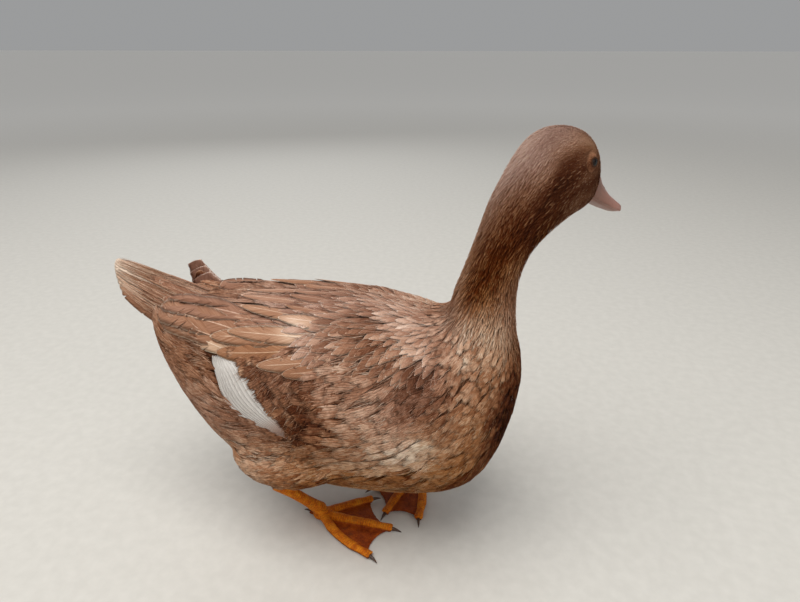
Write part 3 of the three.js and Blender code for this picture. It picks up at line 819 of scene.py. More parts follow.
# %% Down
down_skin, tree, shader = new_material("down_skin", Roughness=0.9, Specular_IOR_Level=0.1)
mark = parts_of(tree, attribute(tree, "mark"))
fluff = clouds(tree, piece_place(tree), 1400.0, 3.0)
down = use_group(tree, plumage_tree, {"Tone": mark[0], "Warmth": mark[1], "Vary": fluff})["Color"]
paint(tree, shader, down)
emboss(tree, shader, fluff, 0.5, 0.0006)

# %% Leg skin
leg_skin, tree, shader = new_material("leg_skin", Roughness=0.6, Specular_IOR_Level=0.15,
                                      Subsurface_Weight=0.06)
shader.inputs["Subsurface Radius"].default_value = (0.004, 0.0015, 0.0008)
place = piece_place(tree)
toe_mask, ring_reach_m, _ = parts_of(tree, attribute(tree, "limb"))
pebbles = use_group(tree, pebble_tree, {"Place": place, "Scales per metre": 850.0, "Vary": 0.6})
ORANGES = [(0.25, srgb(176, 80, 6)), (0.5, srgb(214, 116, 12)), (0.8, srgb(232, 148, 34))]
RED_BROWNS = [(0.25, srgb(108, 40, 6)), (0.55, srgb(148, 64, 12)), (0.85, srgb(178, 90, 22))]
orange, red_brown = ramp(tree, pebbles["Shade"], ORANGES), ramp(tree, pebbles["Shade"], RED_BROWNS)
bare_colour = blend(tree, toe_mask, red_brown, orange)
off_ring = calc(tree, "PINGPONG", ring_reach_m, SCUTE / 2)
ring_line = times(tree, fit(tree, off_ring, 0.00026, 0.0), fit(tree, toe_mask, 0.5, 0.9))
lines = calc(tree, "MAXIMUM", times(tree, ring_line, 0.55), times(tree, pebbles["Line"], 0.32))
lined_colour = blend(tree, lines, bare_colour, srgb(84, 34, 14))
dirt = clouds(tree, place, 70.0, 5.0, 0.7)
paint(tree, shader, blend(tree, fit(tree, dirt, 0.56, 0.78, 0.0, 0.6), lined_colour, srgb(92, 62, 40)))
tree.links.new(fit(tree, dirt, 0.4, 0.75, 0.55, 0.78), shader.inputs["Roughness"])
relief = calc(tree, "SUBTRACT", pebbles["Height"], times(tree, ring_line, 1.4))
emboss(tree, shader, relief, 0.7, 0.00025)

# %% Lid skin
lid_skin, tree, shader = new_material("lid_skin", Roughness=0.75, Specular_IOR_Level=0.12)
pebbles = use_group(tree, pebble_tree, {"Place": piece_place(tree), "Scales per metre": 2600.0, "Vary": 0.8})
LID_BROWNS = [(0.2, srgb(48, 28, 16)), (0.6, srgb(74, 46, 30)), (0.9, srgb(98, 68, 48))]
paint(tree, shader, ramp(tree, pebbles["Shade"], LID_BROWNS))
emboss(tree, shader, pebbles["Height"], 0.5, 0.0001)

# %% Skin piece
skin_shape = joined(body_skin, legs["right"], legs["left"], lids["right"], lids["left"])
legs_and_body = ["trunk", "neck", "head"]
for name in ("thigh", "shank", "foot"):
    legs_and_body += [f"{name}_{side}" for side in SIDES]
skin = new_piece("skin", skin_shape, [down_skin, leg_skin, lid_skin], legs_and_body)
print("skin", len(skin.data.polygons), "faces after", round(time.perf_counter() - started, 1), "s")

# %% [markdown]
# ## Eyes
# Only a small oval of a duck's eye shows. It is dark brown, nearly black in shade, so what makes it live is
# its wetness. The ball bulges a little in front, as a cornea does, its surface is glossy, and iris and
# pupil are painted by how far a place is from the eye's own axis.

# %% Eyeballs
def eyeball_shape(side):
    """A ball round the eye's axis, from the cornea in front to the back."""
    middle, out, forward, up = eye_frame(side)
    rings, turns = 24, 40
    theta = np.linspace(0, np.pi, rings + 1)
    rows, shares = [middle + EYE_RADIUS * 1.05 * out], [0.0]
    for t in theta[1:-1]:
        phi = np.linspace(0, 2 * np.pi, turns, endpoint=False)
        radius = EYE_RADIUS * (1 + 0.05 * math.exp(-((t / 0.55) ** 4)))
        ring = math.cos(t) * out + math.sin(t) * (np.cos(phi)[:, None] * forward + np.sin(phi)[:, None] * up)
        rows += list(middle + radius * ring)
        shares += [t / np.pi] * turns
    rows.append(middle - EYE_RADIUS * out)
    shares.append(1.0)
    faces, sizes = [], []
    for j in range(turns):
        faces += [0, 1 + j, 1 + (j + 1) % turns]
        sizes.append(3)
    for k in range(rings - 2):
        for j in range(turns):
            a, b = 1 + k * turns + j, 1 + k * turns + (j + 1) % turns
            faces += [a, a + turns, b + turns, b]
            sizes.append(4)
    last = 1 + (rings - 2) * turns
    for j in range(turns):
        faces += [last + (j + 1) % turns, last + j, len(rows) - 1]
        sizes.append(3)
    corners = np.array(faces)
    starts = np.concatenate([[0], np.cumsum(sizes)[:-1]])
    if np.cross(forward, up) @ out < 0:  # keeps the faces pointing out of the ball on both sides of the head
        for start, size in zip(starts, sizes):
            corners[start:start + size] = corners[start:start + size][::-1]
    share = np.array(shares)
    return {"points": np.array(rows), "corners": corners, "starts": starts,
            "material": np.zeros(len(sizes), int), "vane": np.stack([share, share * 0, share * 0], 1)}


# Black in the pupil, the iris's own colour round it, and nearly black again past the iris's edge.
BLACK, DARK, WHOLE = (0.002, 0.002, 0.002, 1), (0.05, 0.05, 0.05, 1), (1, 1, 1, 1)
EYE_RINGS = [(0.09, BLACK), (0.1, WHOLE), (0.21, WHOLE), (0.24, DARK)]
eye_gloss, tree, shader = new_material("eye_gloss", Roughness=0.12, Specular_IOR_Level=0.22)
off_axis, _, _ = parts_of(tree, attribute(tree, "vane"))
iris = ramp(tree, clouds(tree, piece_place(tree), 1800.0), [(0.3, srgb(20, 12, 8)), (0.7, srgb(48, 29, 17))])
paint(tree, shader, blend(tree, 1.0, iris, ramp(tree, off_axis, EYE_RINGS), "MULTIPLY"))
for side in SIDES:
    eyeball = new_piece(f"eyeball_{side}", eyeball_shape(side), [eye_gloss], [f"eye_{side}"])
    print(eyeball.name, len(eyeball.data.polygons), "faces")

# %% [markdown]
# ## Bill
# The bill is horn over bone: two flat halves, broad towards the tip, with a hooked nail at the end, a slot
# of a nostril high on each side, and a comb of fine plates along the gape. The solids have its outline.
# They are remeshed fine, and the details are pressed into them by formulas in the bill's own frame, as a
# carver does: the block first, then the small tools.

# %% Bill halves
BILL_LENGTH = np.linalg.norm(BILL_TIP - BILL_ROOT)
bill_ahead = unit(BILL_TIP - BILL_ROOT)
bill_side = unit(np.cross((0, 0, 1), bill_ahead))
bill_up = np.cross(bill_ahead, bill_side)

# Where the two halves meet, and where the lower one ends below, in millimetres at shares of the bill's
# length.
GAPE_SHARE = [-0.05, 0.10, 0.25, 0.40, 0.55, 0.70, 0.85, 1.0]
GAPE_UP = [-7.0, -6.6, -6.1, -5.4, -4.4, -3.1, -2.3, -2.1]
UNDER_UP = [-13.8, -13.2, -12.0, -10.7, -9.3, -8.0, -6.0, -3.6]
SLIM = 0.5  # the share of the lower half that the upper half's rim hangs over, so only a slim strip shows
NOSTRIL_SHARE, NOSTRIL_REACH = 0.27, 0.075  # its middle and half its length, as shares of the bill's
NOSTRIL_ASIDE, NOSTRIL_WIDE = 5.0 * MM, 1.2 * MM  # how far out it lies, and half its width


def bump_at(value, middle, reach):
    """A smooth bump, 1 at its middle and soon 0 past its reach."""
    return np.exp(-(((value - middle) / reach) ** 2))


def bill_shape(name):
    """One half of the bill, with its details pressed in, and its points' places in the bill's own frame."""
    mesh = remeshed([name], 0.5 * MM, 6)
    shape = shape_of(mesh)
    points = shape["points"]
    normal = numbers(mesh.vertex_normals, "vector", 3)
    local = points - BILL_ROOT
    ahead, side, up = local @ bill_ahead, local @ bill_side, local @ bill_up
    share = ahead / BILL_LENGTH
    push = 0.12 * MM + 0.10 * MM * slow_noise(points, 0.006, 8)
    if name == "bill_upper":
        facing = np.clip(normal @ bill_up, 0, 1)
        nail = bump_at(share, 0.97, 0.10) * bump_at(side, 0, 5.0 * MM)
        groove = bump_at(np.hypot((share - 0.97) / 0.17, side / (6.2 * MM)), 1.0, 0.10)
        push += facing * (0.9 * nail - 0.55 * groove) * MM
        ridge = bump_at(side, 0, 2.2 * MM) * np.clip(1 - share / 0.55, 0, 1)
        push += 0.5 * ridge * facing * MM
        off_line = (np.abs(side) - NOSTRIL_ASIDE) / NOSTRIL_WIDE
        off_nostril = np.hypot((share - NOSTRIL_SHARE) / NOSTRIL_REACH, off_line)
        push -= 1.4 * bump_at(off_nostril, 0, 0.85) * (up > 0) * MM
        push += 0.30 * bump_at(off_nostril, 1.45, 0.35) * (up > 0) * MM
    facing_side = np.abs(normal @ bill_side)
    comb = np.sin(ahead / (0.95 * MM) * np.pi) * facing_side * (share > 0.2) * (share < 0.9)
    gape = np.interp(share, GAPE_SHARE, GAPE_UP) * MM
    under = np.interp(share, GAPE_SHARE, UNDER_UP) * MM
    near_gape = bump_at(up, gape, 1.0 * MM)
    push += (0.16 * comb + 0.22) * near_gape * MM
    points = points + normal * push[:, None]
    # The root is drawn back under the face's feathers, and the ridge rises to the forehead.
    points -= bill_ahead * (4.5 * MM * np.clip(1 - share / 0.07, 0, 1))[:, None]
    if name == "bill_upper":
        climb = np.clip(1 - share / 0.85, 0, 1) ** 1.2 * np.clip((up + 1 * MM) / (6 * MM), 0, 1)
        points += bill_up * (4.2 * MM * climb)[:, None]
        hang = np.clip((gape + 3 * MM - up) / (3 * MM), 0, 1)
        points -= bill_up * (SLIM * (gape - under) * hang)[:, None]
    else:
        points -= bill_up * (SLIM * np.clip(up - under, 0, None) - 0.4 * MM)[:, None]
    shape["points"] = points
    shape["limb"] = np.stack([share, side, up], 1)
    return shape

# %% Bill horn
# The horn is brown and pinkish, darker at its root and freckled, with a painted highlight on the nail.
HORN_BROWNS = [(0.0, srgb(112, 80, 66)), (0.3, srgb(142, 103, 90)), (0.75, srgb(166, 121, 108)),
               (1.0, srgb(146, 100, 86))]
bill_horn, tree, shader = new_material("bill_horn", Roughness=0.42, Specular_IOR_Level=0.45,
                                       Subsurface_Weight=0.08)
shader.inputs["Subsurface Radius"].default_value = (0.003, 0.0012, 0.0008)
place = piece_place(tree)
bill_share, bill_aside, bill_lift = parts_of(tree, attribute(tree, "limb"))
pits = use_group(tree, pebble_tree, {"Place": place, "Scales per metre": 1500.0, "Vary": 0.5})
cloudy_share = calc(tree, "ADD", bill_share, times(tree, calc(tree, "SUBTRACT", pits["Shade"], 0.5), 0.5))
horn = ramp(tree, cloudy_share, HORN_BROWNS)
lower_edge = fit(tree, bill_lift, 0.0, -0.007, 0.0, 0.55)
horn = blend(tree, lower_edge, horn, srgb(128, 84, 66))
aside_either = calc(tree, "ABSOLUTE", bill_aside)
# A painted highlight: the nail is lightened towards a pale cream.
painted_nail_highlight = times(tree, fit(tree, bill_share, 0.86, 0.96), fit(tree, aside_either, 0.0055, 0.0035))
horn = blend(tree, times(tree, painted_nail_highlight, 0.45), horn, srgb(222, 190, 172))
off_middle = calc(tree, "DIVIDE", calc(tree, "SUBTRACT", bill_share, NOSTRIL_SHARE), NOSTRIL_REACH)
off_line = calc(tree, "DIVIDE", calc(tree, "SUBTRACT", aside_either, NOSTRIL_ASIDE), NOSTRIL_WIDE)
off_squared = calc(tree, "ADD", times(tree, off_middle, off_middle), times(tree, off_line, off_line))
inside = times(tree, fit(tree, calc(tree, "SQRT", off_squared), 1.0, 0.6), fit(tree, bill_lift, 0.0, 0.001))
freckles = clouds(tree, place, 420.0)
horn = blend(tree, fit(tree, freckles, 0.62, 0.75, 0.0, 0.35), horn, srgb(112, 70, 58))
paint(tree, shader, blend(tree, inside, horn, srgb(38, 20, 16)))
tree.links.new(fit(tree, pits["Shade"], 0.3, 0.8, 0.36, 0.54), shader.inputs["Roughness"])
emboss(tree, shader, pits["Height"], 0.25, 0.00012)
for name in ("bill_upper", "bill_lower"):
    half = new_piece(f"{name}_horn", bill_shape(name), [bill_horn], [name])
    print(half.name, len(half.data.polygons), "faces")

# %% [markdown]
# ## Claws
# Each toe ends in a small curved claw of dark horn, streaked along its growth. The solids are already the
# right spikes, so they are only rounded by subdivision, which costs few faces.

# %% Claws
CLAW_BROWNS = [(0.3, srgb(38, 24, 18)), (0.55, srgb(74, 48, 34)), (0.8, srgb(128, 92, 66))]
claw_horn, tree, shader = new_material("claw_horn", Roughness=0.35, Specular_IOR_Level=0.5)
paint(tree, shader, ramp(tree, clouds(tree, piece_place(tree), 900.0, 3.0), CLAW_BROWNS))
for name in [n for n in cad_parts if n.startswith("claw_")]:
    rounded = reworked([name], {"SUBSURF": {"levels": 2}})
    new_piece(f"{name}_horn", shape_of(rounded), [claw_horn], [name])
print("claws, bill and eyes after", round(time.perf_counter() - started, 1), "s")

# %% [markdown]
# ## How a feather is placed
# Feathers grow about one gap apart, each rooted in the skin and lying back over the next, so only its tip
# is seen. So roots are scattered on the outline at a set spacing, and from each a centreline is combed
# along the lie, from the skin at its root up to the outline at its tip. A flat pattern of a feather is then
# laid along it, and bent with it.

# %% Roots and centrelines
# Roots are kept as triangles of the outline, by their three corners, with each corner's share in the place.
def settle(places):
    """The nearest places on the outline."""
    faces = np.empty(len(places), int)
    near = np.empty((len(places), 3))
    for k, place in enumerate(places):
        location, _, faces[k], _ = body_tree.find_nearest(place)
        near[k] = location
    corners = triangles[faces]
    a, b, c = spots[corners[:, 0]], spots[corners[:, 1]], spots[corners[:, 2]]
    one, two, to = b - a, c - a, near - a
    dot = lambda v, w: (v * w).sum(1)
    scale = np.maximum(dot(one, one) * dot(two, two) - dot(one, two) ** 2, 1e-20)
    second = (dot(two, two) * dot(to, one) - dot(one, two) * dot(to, two)) / scale
    third = (dot(one, one) * dot(to, two) - dot(one, two) * dot(to, one)) / scale
    return corners, np.clip(np.stack([1 - second - third, second, third], 1), 0, 1)


def at(values, roots):
    """What an array with a row to each point of the outline says at the roots."""
    corners, shares = roots
    return (values[corners] * (shares if values.ndim == 1 else shares[..., None])).sum(1)


def pick(roots, chosen):
    return roots[0][chosen], roots[1][chosen]


def scatter(where, spacing, seed):
    """Roots about one spacing apart, on the triangles whose corners all pass."""
    random = np.random.default_rng(seed)
    spacing = np.broadcast_to(spacing, len(spots))
    corners = triangles[where[triangles].all(1)]
    a, b, c = spots[corners[:, 0]], spots[corners[:, 1]], spots[corners[:, 2]]
    area = np.linalg.norm(np.cross(b - a, c - a), axis=1) / 2
    tries = np.repeat(np.arange(len(corners)), random.poisson(3.5 * area / spacing[corners].mean(1) ** 2))
    random.shuffle(tries)
    roots = corners[tries], random.dirichlet((1, 1, 1), len(tries))
    places, gaps = at(spots, roots), at(spacing, roots)
    tree = kdtree.KDTree(len(places))
    for k, place in enumerate(places):
        tree.insert(place, k)
    tree.balance()
    free, kept = np.ones(len(places), bool), []
    for k, place in enumerate(places):
        if free[k]:
            kept.append(k)
            free[[other for _, other, _ in tree.find_range(place, gaps[k])]] = False
    return pick(roots, np.array(kept))


# The coat is a little tousled, so the lie turns this far, less on the head than on the body.
swirl = 0.34 * np.clip((along - 0.08) / 0.10, 0.15, 1) * slow_noise(spots, 0.022, 9)


def comb(roots, turn, lengths, steps=4, stiff=0.0):
    """Centrelines along the lie, turned by an angle: their places and the ways out of the body there.

    A stiff feather bends less than the body does, so its tip stands off where the body turns away.
    """
    turn = turn + at(swirl, roots)
    turn, lengths, stiff = (np.broadcast_to(v, len(roots[0]))[:, None] for v in (turn, lengths, stiff))
    path, out = [at(spots, roots)], [unit(at(outward, roots))]
    here, straight = roots, []
    for k in range(steps):
        flow, normal = unit(at(lie, here)), out[-1]
        way = flow * np.cos(turn) + np.cross(normal, flow) * np.sin(turn)
        way = unit(way - (way * normal).sum(1, keepdims=True) * normal)
        straight.append(way)
        here = settle(path[-1] + way * lengths / steps)
        path.append(at(spots, here))
        out.append(unit(at(outward, here)))
    path, out = np.stack(path, 1), np.stack(out, 1)
    share = np.linspace(0, 1, steps + 1)[None, :, None]
    ruler = path[:, :1] + straight[min(1, steps - 1)][:, None] * lengths[:, None] * share
    return path + (ruler - path) * stiff[:, None] * share, out


def raised(path, out, root_depth, tip_height=0.0, power=1.4):
    """Centrelines sunk to the skin at their roots and lifted to the given height at their tips."""
    share = np.linspace(0, 1, path.shape[1])
    root_depth, tip_height = (np.broadcast_to(v, len(path))[:, None] for v in (root_depth, tip_height))
    height = -root_depth * (1 - share) ** power + tip_height * share**2
    return path + out * height[..., None]

# %% [markdown]
# ## Feather patterns
# A firm feather is one blade with a quill and a few slits where its barbs have come unzipped. A soft one is
# a small blade that falls apart into locks of loose barbs. The finest, on face and neck, look like single
# locks. All are thin closed solids, drawn in shares: across in half widths, along in lengths.

# %% Patterns
class Pattern:
    """A feather's points and faces, and for each point how far it is across, along and to the margin."""

    def __init__(self):
        self.points, self.vane, self.faces = [], [], []

    def lock(self, line, half_width, height, margins, aspect):
        """A closed three-sided blade along a line of places, narrowing to a point."""
        line = np.array(line)
        way = unit(np.gradient(line[:, :2] * (aspect, 1), axis=0))
        side = np.stack([way[:, 1], -way[:, 0]], 1) / (aspect, 1) * aspect
        rows = len(line) - 1
        first = len(self.points)
        for k in range(rows):
            width = half_width * (1 - (k / rows) ** 1.6) * (0.65 if k == 0 else 1)
            for across, rise in ((-width, 0), (0, height), (width, 0)):
                self.points.append((*(line[k, :2] + side[k] * across), line[k, 2] + rise))
                self.vane.append((line[k, 0], line[k, 1], margins[k]))
        self.points.append(tuple(line[-1]))
        self.vane.append((line[-1, 0], line[-1, 1], margins[-1]))
        tip = first + 3 * rows
        self.faces.append((first, first + 1, first + 2))
        for k in range(rows):
            here = first + 3 * k
            for one, two in ((0, 1), (1, 2), (2, 0)):
                if k < rows - 1:
                    self.faces.append((here + one, here + 3 + one, here + 3 + two, here + two))
                else:
                    self.faces.append((here + one, tip, here + two))

    def blade(self, shares, widths, columns, sweep, rise, slits=()):
        """A closed flat vane: columns at each share, a plainer underside, and slits cut at some rows."""
        first, rows, count = len(self.points), len(shares), len(columns)
        for k, (share, width) in enumerate(zip(shares, widths)):
            for column in columns:
                pull = 0.42 if (k, column > 0) in slits and abs(column) > 0.5 else 1.0
                across = column * width * pull
                self.points.append((across, share + sweep * abs(column) * width * pull, rise(column, share)))
                tip = max(0.0, (share - 0.8) / 0.2)
                self.vane.append((across, share, max(abs(column) * pull, tip)))
        under = []
        for k in range(rows):
            left, right = first + k * count, first + k * count + count - 1
            if 0 < k < rows - 1:
                self.points.append((0, shares[k], rise(1, shares[k]) - 0.00018))
                self.vane.append((0, shares[k], 0.2))
                under.append((left, len(self.points) - 1, right))
            else:
                under.append((left, left + count // 2, right))
        for k in range(rows - 1):
            for j in range(count - 1):
                a = first + k * count + j
                self.faces.append((a, a + count, a + count + 1, a + 1))
            for j in range(2):
                self.faces.append((under[k][j + 1], under[k + 1][j + 1], under[k + 1][j], under[k][j]))
        for k, turn in ((0, 1), (rows - 1, -1)):  # the short ends, between the top and the underside
            row = first + k * count
            for half in (0, count // 2):
                end = [row + half + j for j in range(count // 2 + 1)]
                self.faces.append(tuple(end[::turn]))

    def arrays(self):
        sizes = [len(face) for face in self.faces]
        return {"points": np.array(self.points), "vane": np.array(self.vane),
                "corners": np.concatenate([np.array(face) for face in self.faces]),
                "starts": np.concatenate([[0], np.cumsum(sizes)[:-1]])}


def tuft_pattern():
    """The finest feather, seen as one lock of barbs."""
    pattern = Pattern()
    pattern.lock([(0, 0, 0), (0, 0.35, 0), (0, 0.72, 0), (0, 1, 0)], 1.0, 0.00016, (0, 0.3, 0.7, 1), 0.2)
    return pattern.arrays()


def strand_pattern(bend):
    """A longer loose lock, bent to one side."""
    pattern = Pattern()
    line = [(0, 0, 0), (1.2 * bend, 0.3, 0), (1.6 * bend, 0.65, 0.0001), (-0.6 * bend, 1, 0.0003)]
    pattern.lock(line, 1.0, 0.00014, (0, 0.3, 0.7, 1), 0.05)
    return pattern.arrays()


def soft_pattern(seed, locks=9, fan=1.25, aspect=0.3, core=0.55):
    """A soft feather: a short blade that falls apart into locks, spread over an angle to each side."""
    random = np.random.default_rng(seed)
    pattern = Pattern()
    shares = np.array([0.0, 0.2, 0.42, core + 0.08])
    pattern.blade(shares, np.array([0.15, 0.42, 0.5, 0.3]) * min(1, fan), (-1, -0.5, 0, 0.5, 1), 0.04,
                  lambda column, share: 0.00012 * (1 - abs(column)))
    order = random.permutation(locks)
    for j, turn in enumerate(np.linspace(-1, 1, locks)):
        angle = turn * fan + random.uniform(-0.10, 0.10)
        reach = 1 + random.uniform(-0.10, 0.06)
        root = np.array([0.30 * turn * min(1, fan), 0.10 + 0.30 * math.cos(angle)])
        tip = np.array([0.98 * math.sin(angle) * reach, core + (1 - core) * math.cos(angle) * reach])
        tip[0] += 0.35 * turn * (1 - min(1, fan))
        middle = (root + tip) / 2 + (0.10 * turn, -0.02)
        level = 0.00010 + 0.00009 * order[j] / locks * 3
        lift = random.uniform(0.0, 0.0004)
        late = middle * 0.42 + tip * 0.58 + (0.07 * turn, -0.01)
        line = [(*place, level + part * lift)
                for place, part in ((root, 0.0), (middle, 0.3), (late, 0.55), (tip, 1.0))]
        pattern.lock(line, 0.21 * (9 / locks), 0.00016, (0.0, 0.35, 0.7, 1.0), aspect)
    return pattern.arrays()


QUILL_COLUMNS = (-1, -0.55, -0.2, -0.045, 0, 0.045, 0.2, 0.55, 1)


def firm_pattern(seed, rows=11, tip=0.55, slits=2, sweep=0.12, base=0.35, point=(2.2, 0.5), taper=0.0):
    """A firm feather: full width by a third of its length, then a tip that starts at the given share.

    The tip's two powers make it round or pointed. A taper narrows the feather all the way.
    """
    random = np.random.default_rng(seed)
    cuts = np.sort(random.uniform(0.3, 0.92, slits))
    shares = np.sort(np.concatenate([np.linspace(0, 1, rows), cuts - 0.012, cuts, cuts + 0.012]))
    grow = base + (1 - base) * ease(shares, 0.0, 0.35)
    rounded = np.maximum(1 - np.clip((shares - tip) / (1 - tip), 0, 1) ** point[0], 0) ** point[1]
    uneven = 1 + 0.03 * random.standard_normal(len(shares))
    widths = grow * (1 - taper * shares) * np.maximum(rounded, 0.06) * uneven
    cut_rows = {(int(np.argmin(np.abs(shares - cut))), bool(random.random() < 0.5)) for cut in cuts}
    pattern = Pattern()

    def rise(column, share):
        quill = 0.00028 * (1 - 0.7 * share) if abs(column) < 0.03 else 0
        return quill + 0.00018 * (1 - abs(column))

    pattern.blade(shares, widths, QUILL_COLUMNS, sweep, rise, cut_rows)
    return pattern.arrays()


def firm_patterns(first_seed, count, **shape):
    """A few firm feathers that differ in their slits and unevenness."""
    return [firm_pattern(first_seed + k, **shape) for k in range(count)]

# %% Laying patterns
def laid(pattern, path, out, half_width, camber=0.0):
    """A pattern's points set along each centreline, and bowed down to both sides by the camber."""
    across, share, rise = pattern["points"].T
    steps = path.shape[1] - 1
    place = np.clip(share, 0, 1.2) * steps
    first = np.minimum(place.astype(int), steps - 1)
    part = (place - first)[None, :, None]
    ahead = unit(np.gradient(path, axis=1))

    def between(rows):
        return rows[:, first] * (1 - part) + rows[:, first + 1] * part

    normal, way = unit(between(out)), unit(between(ahead))
    side = unit(np.cross(way, normal))
    width = np.broadcast_to(half_width, len(path))[:, None, None]
    drop = np.broadcast_to(camber, len(path))[:, None, None] * (across**2)[None, :, None]
    return between(path) + side * across[None, :, None] * width + normal * (rise[None, :, None] - drop)


def feathers(patterns, path, out, half_width, tone, warmth, rooted, camber=0.0, seed=0):
    """Feathers of a few patterns mixed: one shape with their colours, own numbers and places on the map."""
    random = np.random.default_rng(seed)
    count = len(path)
    which = random.integers(len(patterns), size=count)
    vary, number = random.random(count), random.random(count)
    tone, warmth, half_width, camber = (np.broadcast_to(v, count) for v in (tone, warmth, half_width, camber))
    length = np.linalg.norm(np.diff(path, axis=1), axis=2).sum(1)
    root_flat = np.stack([at(around, rooted), at(along, rooted)], 1)
    shapes = []
    for k, pattern in enumerate(patterns):
        mine = np.flatnonzero(which == k)
        size, corner_count, points = len(mine), len(pattern["corners"]), len(pattern["points"])
        across, share = pattern["vane"][:, 0], pattern["vane"][:, 1]
        rows = np.ones((size, points))
        spread = lambda values: rows * values[mine][:, None]
        inches = [across * spread(half_width), share * spread(length), spread(number)]
        own_patch = np.stack([np.clip(across, -1, 1) / 2, np.clip(share, 0, 1) - 0.5], 1)
        places = laid(pattern, path[mine], out[mine], half_width[mine], camber[mine])
        marks = [spread(tone) + bleaching(places), spread(warmth), spread(vary)]
        shapes.append({
            "points": places.reshape(-1, 3),
            "corners": (pattern["corners"] + points * np.arange(size)[:, None]).ravel(),
            "starts": (pattern["starts"] + corner_count * np.arange(size)[:, None]).ravel(),
            "material": np.zeros(size * len(pattern["starts"]), int),
            "mark": np.stack(marks, -1).reshape(-1, 3),
            "vane": np.tile(pattern["vane"], (size, 1)),
            "reach": np.stack(inches, -1).reshape(-1, 3),
            "root": np.repeat(root_flat[mine], points, 0),
            "patch": np.tile(own_patch, (size, 1)),
        })
    return joined(*shapes)


PATCH = 0.003  # each feather's own share of the flat map


def new_coat(name, shape, materials, replaced=()):
    """A coat piece, with every feather a small patch on the skin's map, drawn out to fill it."""
    root, patch = shape.pop("root"), shape.pop("patch")
    low, high = root.min(0), root.max(0)
    shape["flat"] = 0.01 + 0.98 * (root - low) / (high - low) + PATCH * patch
    piece = new_piece(name, shape, materials, replaced)
    ends = np.append(shape["starts"][1:], len(shape["corners"]))
    triangle_count = int((ends - shape["starts"] - 2).sum())
    print(f"  {name}: {triangle_count} triangles, {round(time.perf_counter() - started, 1)} s")
    return piece

# %% [markdown]
# ## Finishes of the plumage
# One recipe serves every brown feather: its marking's brown, lighter towards the tip and the margin, where
# the sun bleaches it, and streaked by its barbs. What differs is how strong each effect is, from almost
# nothing on the finest feathers to pale margins on the firm ones.

# %% Plumage materials
def plumage_material(name, tip_lift, streak, fringe_lift, quill_lift, fringe=0.25, barbs=1500.0,
                     quill=0.03, bump_depth=0.00015):
    """A plumage finish, with how much lighter the tip, the streaks, the margin and the quill are."""
    material, tree, shader = new_material(name, Roughness=0.8, Specular_IOR_Level=0.08)
    mark, vane = parts_of(tree, attribute(tree, "mark")), attribute(tree, "vane")
    feather = use_group(tree, vane_tree, {"Vane": vane, "Reach": attribute(tree, "reach"),
                                          "Barbs per metre": barbs, "Quill": quill, "Fringe": fringe})
    to_tip = fit(tree, parts_of(tree, vane)[1], 0.35, 1.0, -tip_lift, tip_lift)
    streaks = fit(tree, feather["Streak"], 0.3, 0.7, -streak / 2, streak / 2)
    margin = times(tree, feather["Fringe"], fringe_lift)
    margin_and_quill = calc(tree, "ADD", margin, times(tree, feather["Quill"], quill_lift))
    lift = calc(tree, "ADD", calc(tree, "ADD", to_tip, streaks), margin_and_quill)
    lighter = calc(tree, "ADD", mark[0], lift)
    colour = use_group(tree, plumage_tree, {"Tone": lighter, "Warmth": mark[1], "Vary": mark[2]})
    paint(tree, shader, colour["Color"])
    emboss(tree, shader, feather["Height"], 0.6, bump_depth)
    return material


fine_plumage = plumage_material("fine_plumage", tip_lift=0.07, streak=0.14, fringe_lift=0.04,
                                quill_lift=0.0, barbs=400.0)
soft_plumage = plumage_material("soft_plumage", tip_lift=0.09, streak=0.24, fringe_lift=0.06,
                                quill_lift=0.04, barbs=220.0)
firm_plumage = plumage_material("firm_plumage", tip_lift=0.07, streak=0.22, fringe=0.30,
                                fringe_lift=0.40, quill_lift=0.12)
flight_plumage = plumage_material("flight_plumage", tip_lift=0.02, streak=0.20, fringe=0.16, fringe_lift=0.36,
                                  barbs=1100.0, quill=0.045, quill_lift=0.3, bump_depth=0.0002)
tip_plumage = plumage_material("tip_plumage", tip_lift=0.04, streak=0.14, fringe=0.16, fringe_lift=0.55,
                               barbs=1100.0, quill=0.045, quill_lift=0.1, bump_depth=0.0002)
print("materials:", [material.name for material in bpy.data.materials])

# %% [markdown]
# ## Head and neck
# On the head the feathers are so fine that they read as fur, two millimetres long at the bill and eyes and
# longer over the nape. The neck's are longer again. Each is one lock of barbs here, since nothing else of
# it shows. On the lids, which the comb can't reach, the same locks follow lines that part round the eye
# like water round a post.

# %% Head coat
tuft_patterns = [tuft_pattern()]
on_head = (bill_gap > 0.9 * MM) & (along < 0.088)
for eye in EYES.values():
    on_head &= ~within(eye, 0.0064)
gap = np.interp(along, [0, 0.03, 0.09], [0.95, 1.15, 1.35]) * MM
roots = scatter(on_head, gap, 11)
reach = at(along, roots)
eye_gap = np.minimum(*[np.linalg.norm(at(spots, roots) - eye, axis=1) for eye in EYES.values()])
length = np.interp(reach, [0, 0.02, 0.05, 0.09], [2.0, 3.2, 5.0, 8.0]) * MM
length = np.minimum(length, 1.6 * MM + 0.35 * np.maximum(eye_gap - 4.4 * MM, 0))
random = np.random.default_rng(12)
count = len(length)
path, out = comb(roots, random.normal(0, 0.13, count), length * random.uniform(0.85, 1.15, count), steps=3)
path = raised(path, out, at(depth, roots) * 0.9, random.normal(0.0, 0.10, count) * MM)
width = np.interp(reach, [0, 0.05, 0.09], [0.42, 0.55, 0.7]) * MM
flecked = ease(at(np.degrees(np.abs(around)), roots), 85, 115) * ease(reach, 0.085, 0.06)
flecks = np.where(random.random(count) < 0.20 * flecked, 0.24, -0.02 * flecked)
lightness = at(tone, roots) + flecks + random.normal(0, 0.04, count)
head_tufts = feathers(tuft_patterns, path, out, width, lightness, at(warmth, roots), roots, seed=13)
print("head tufts", count)

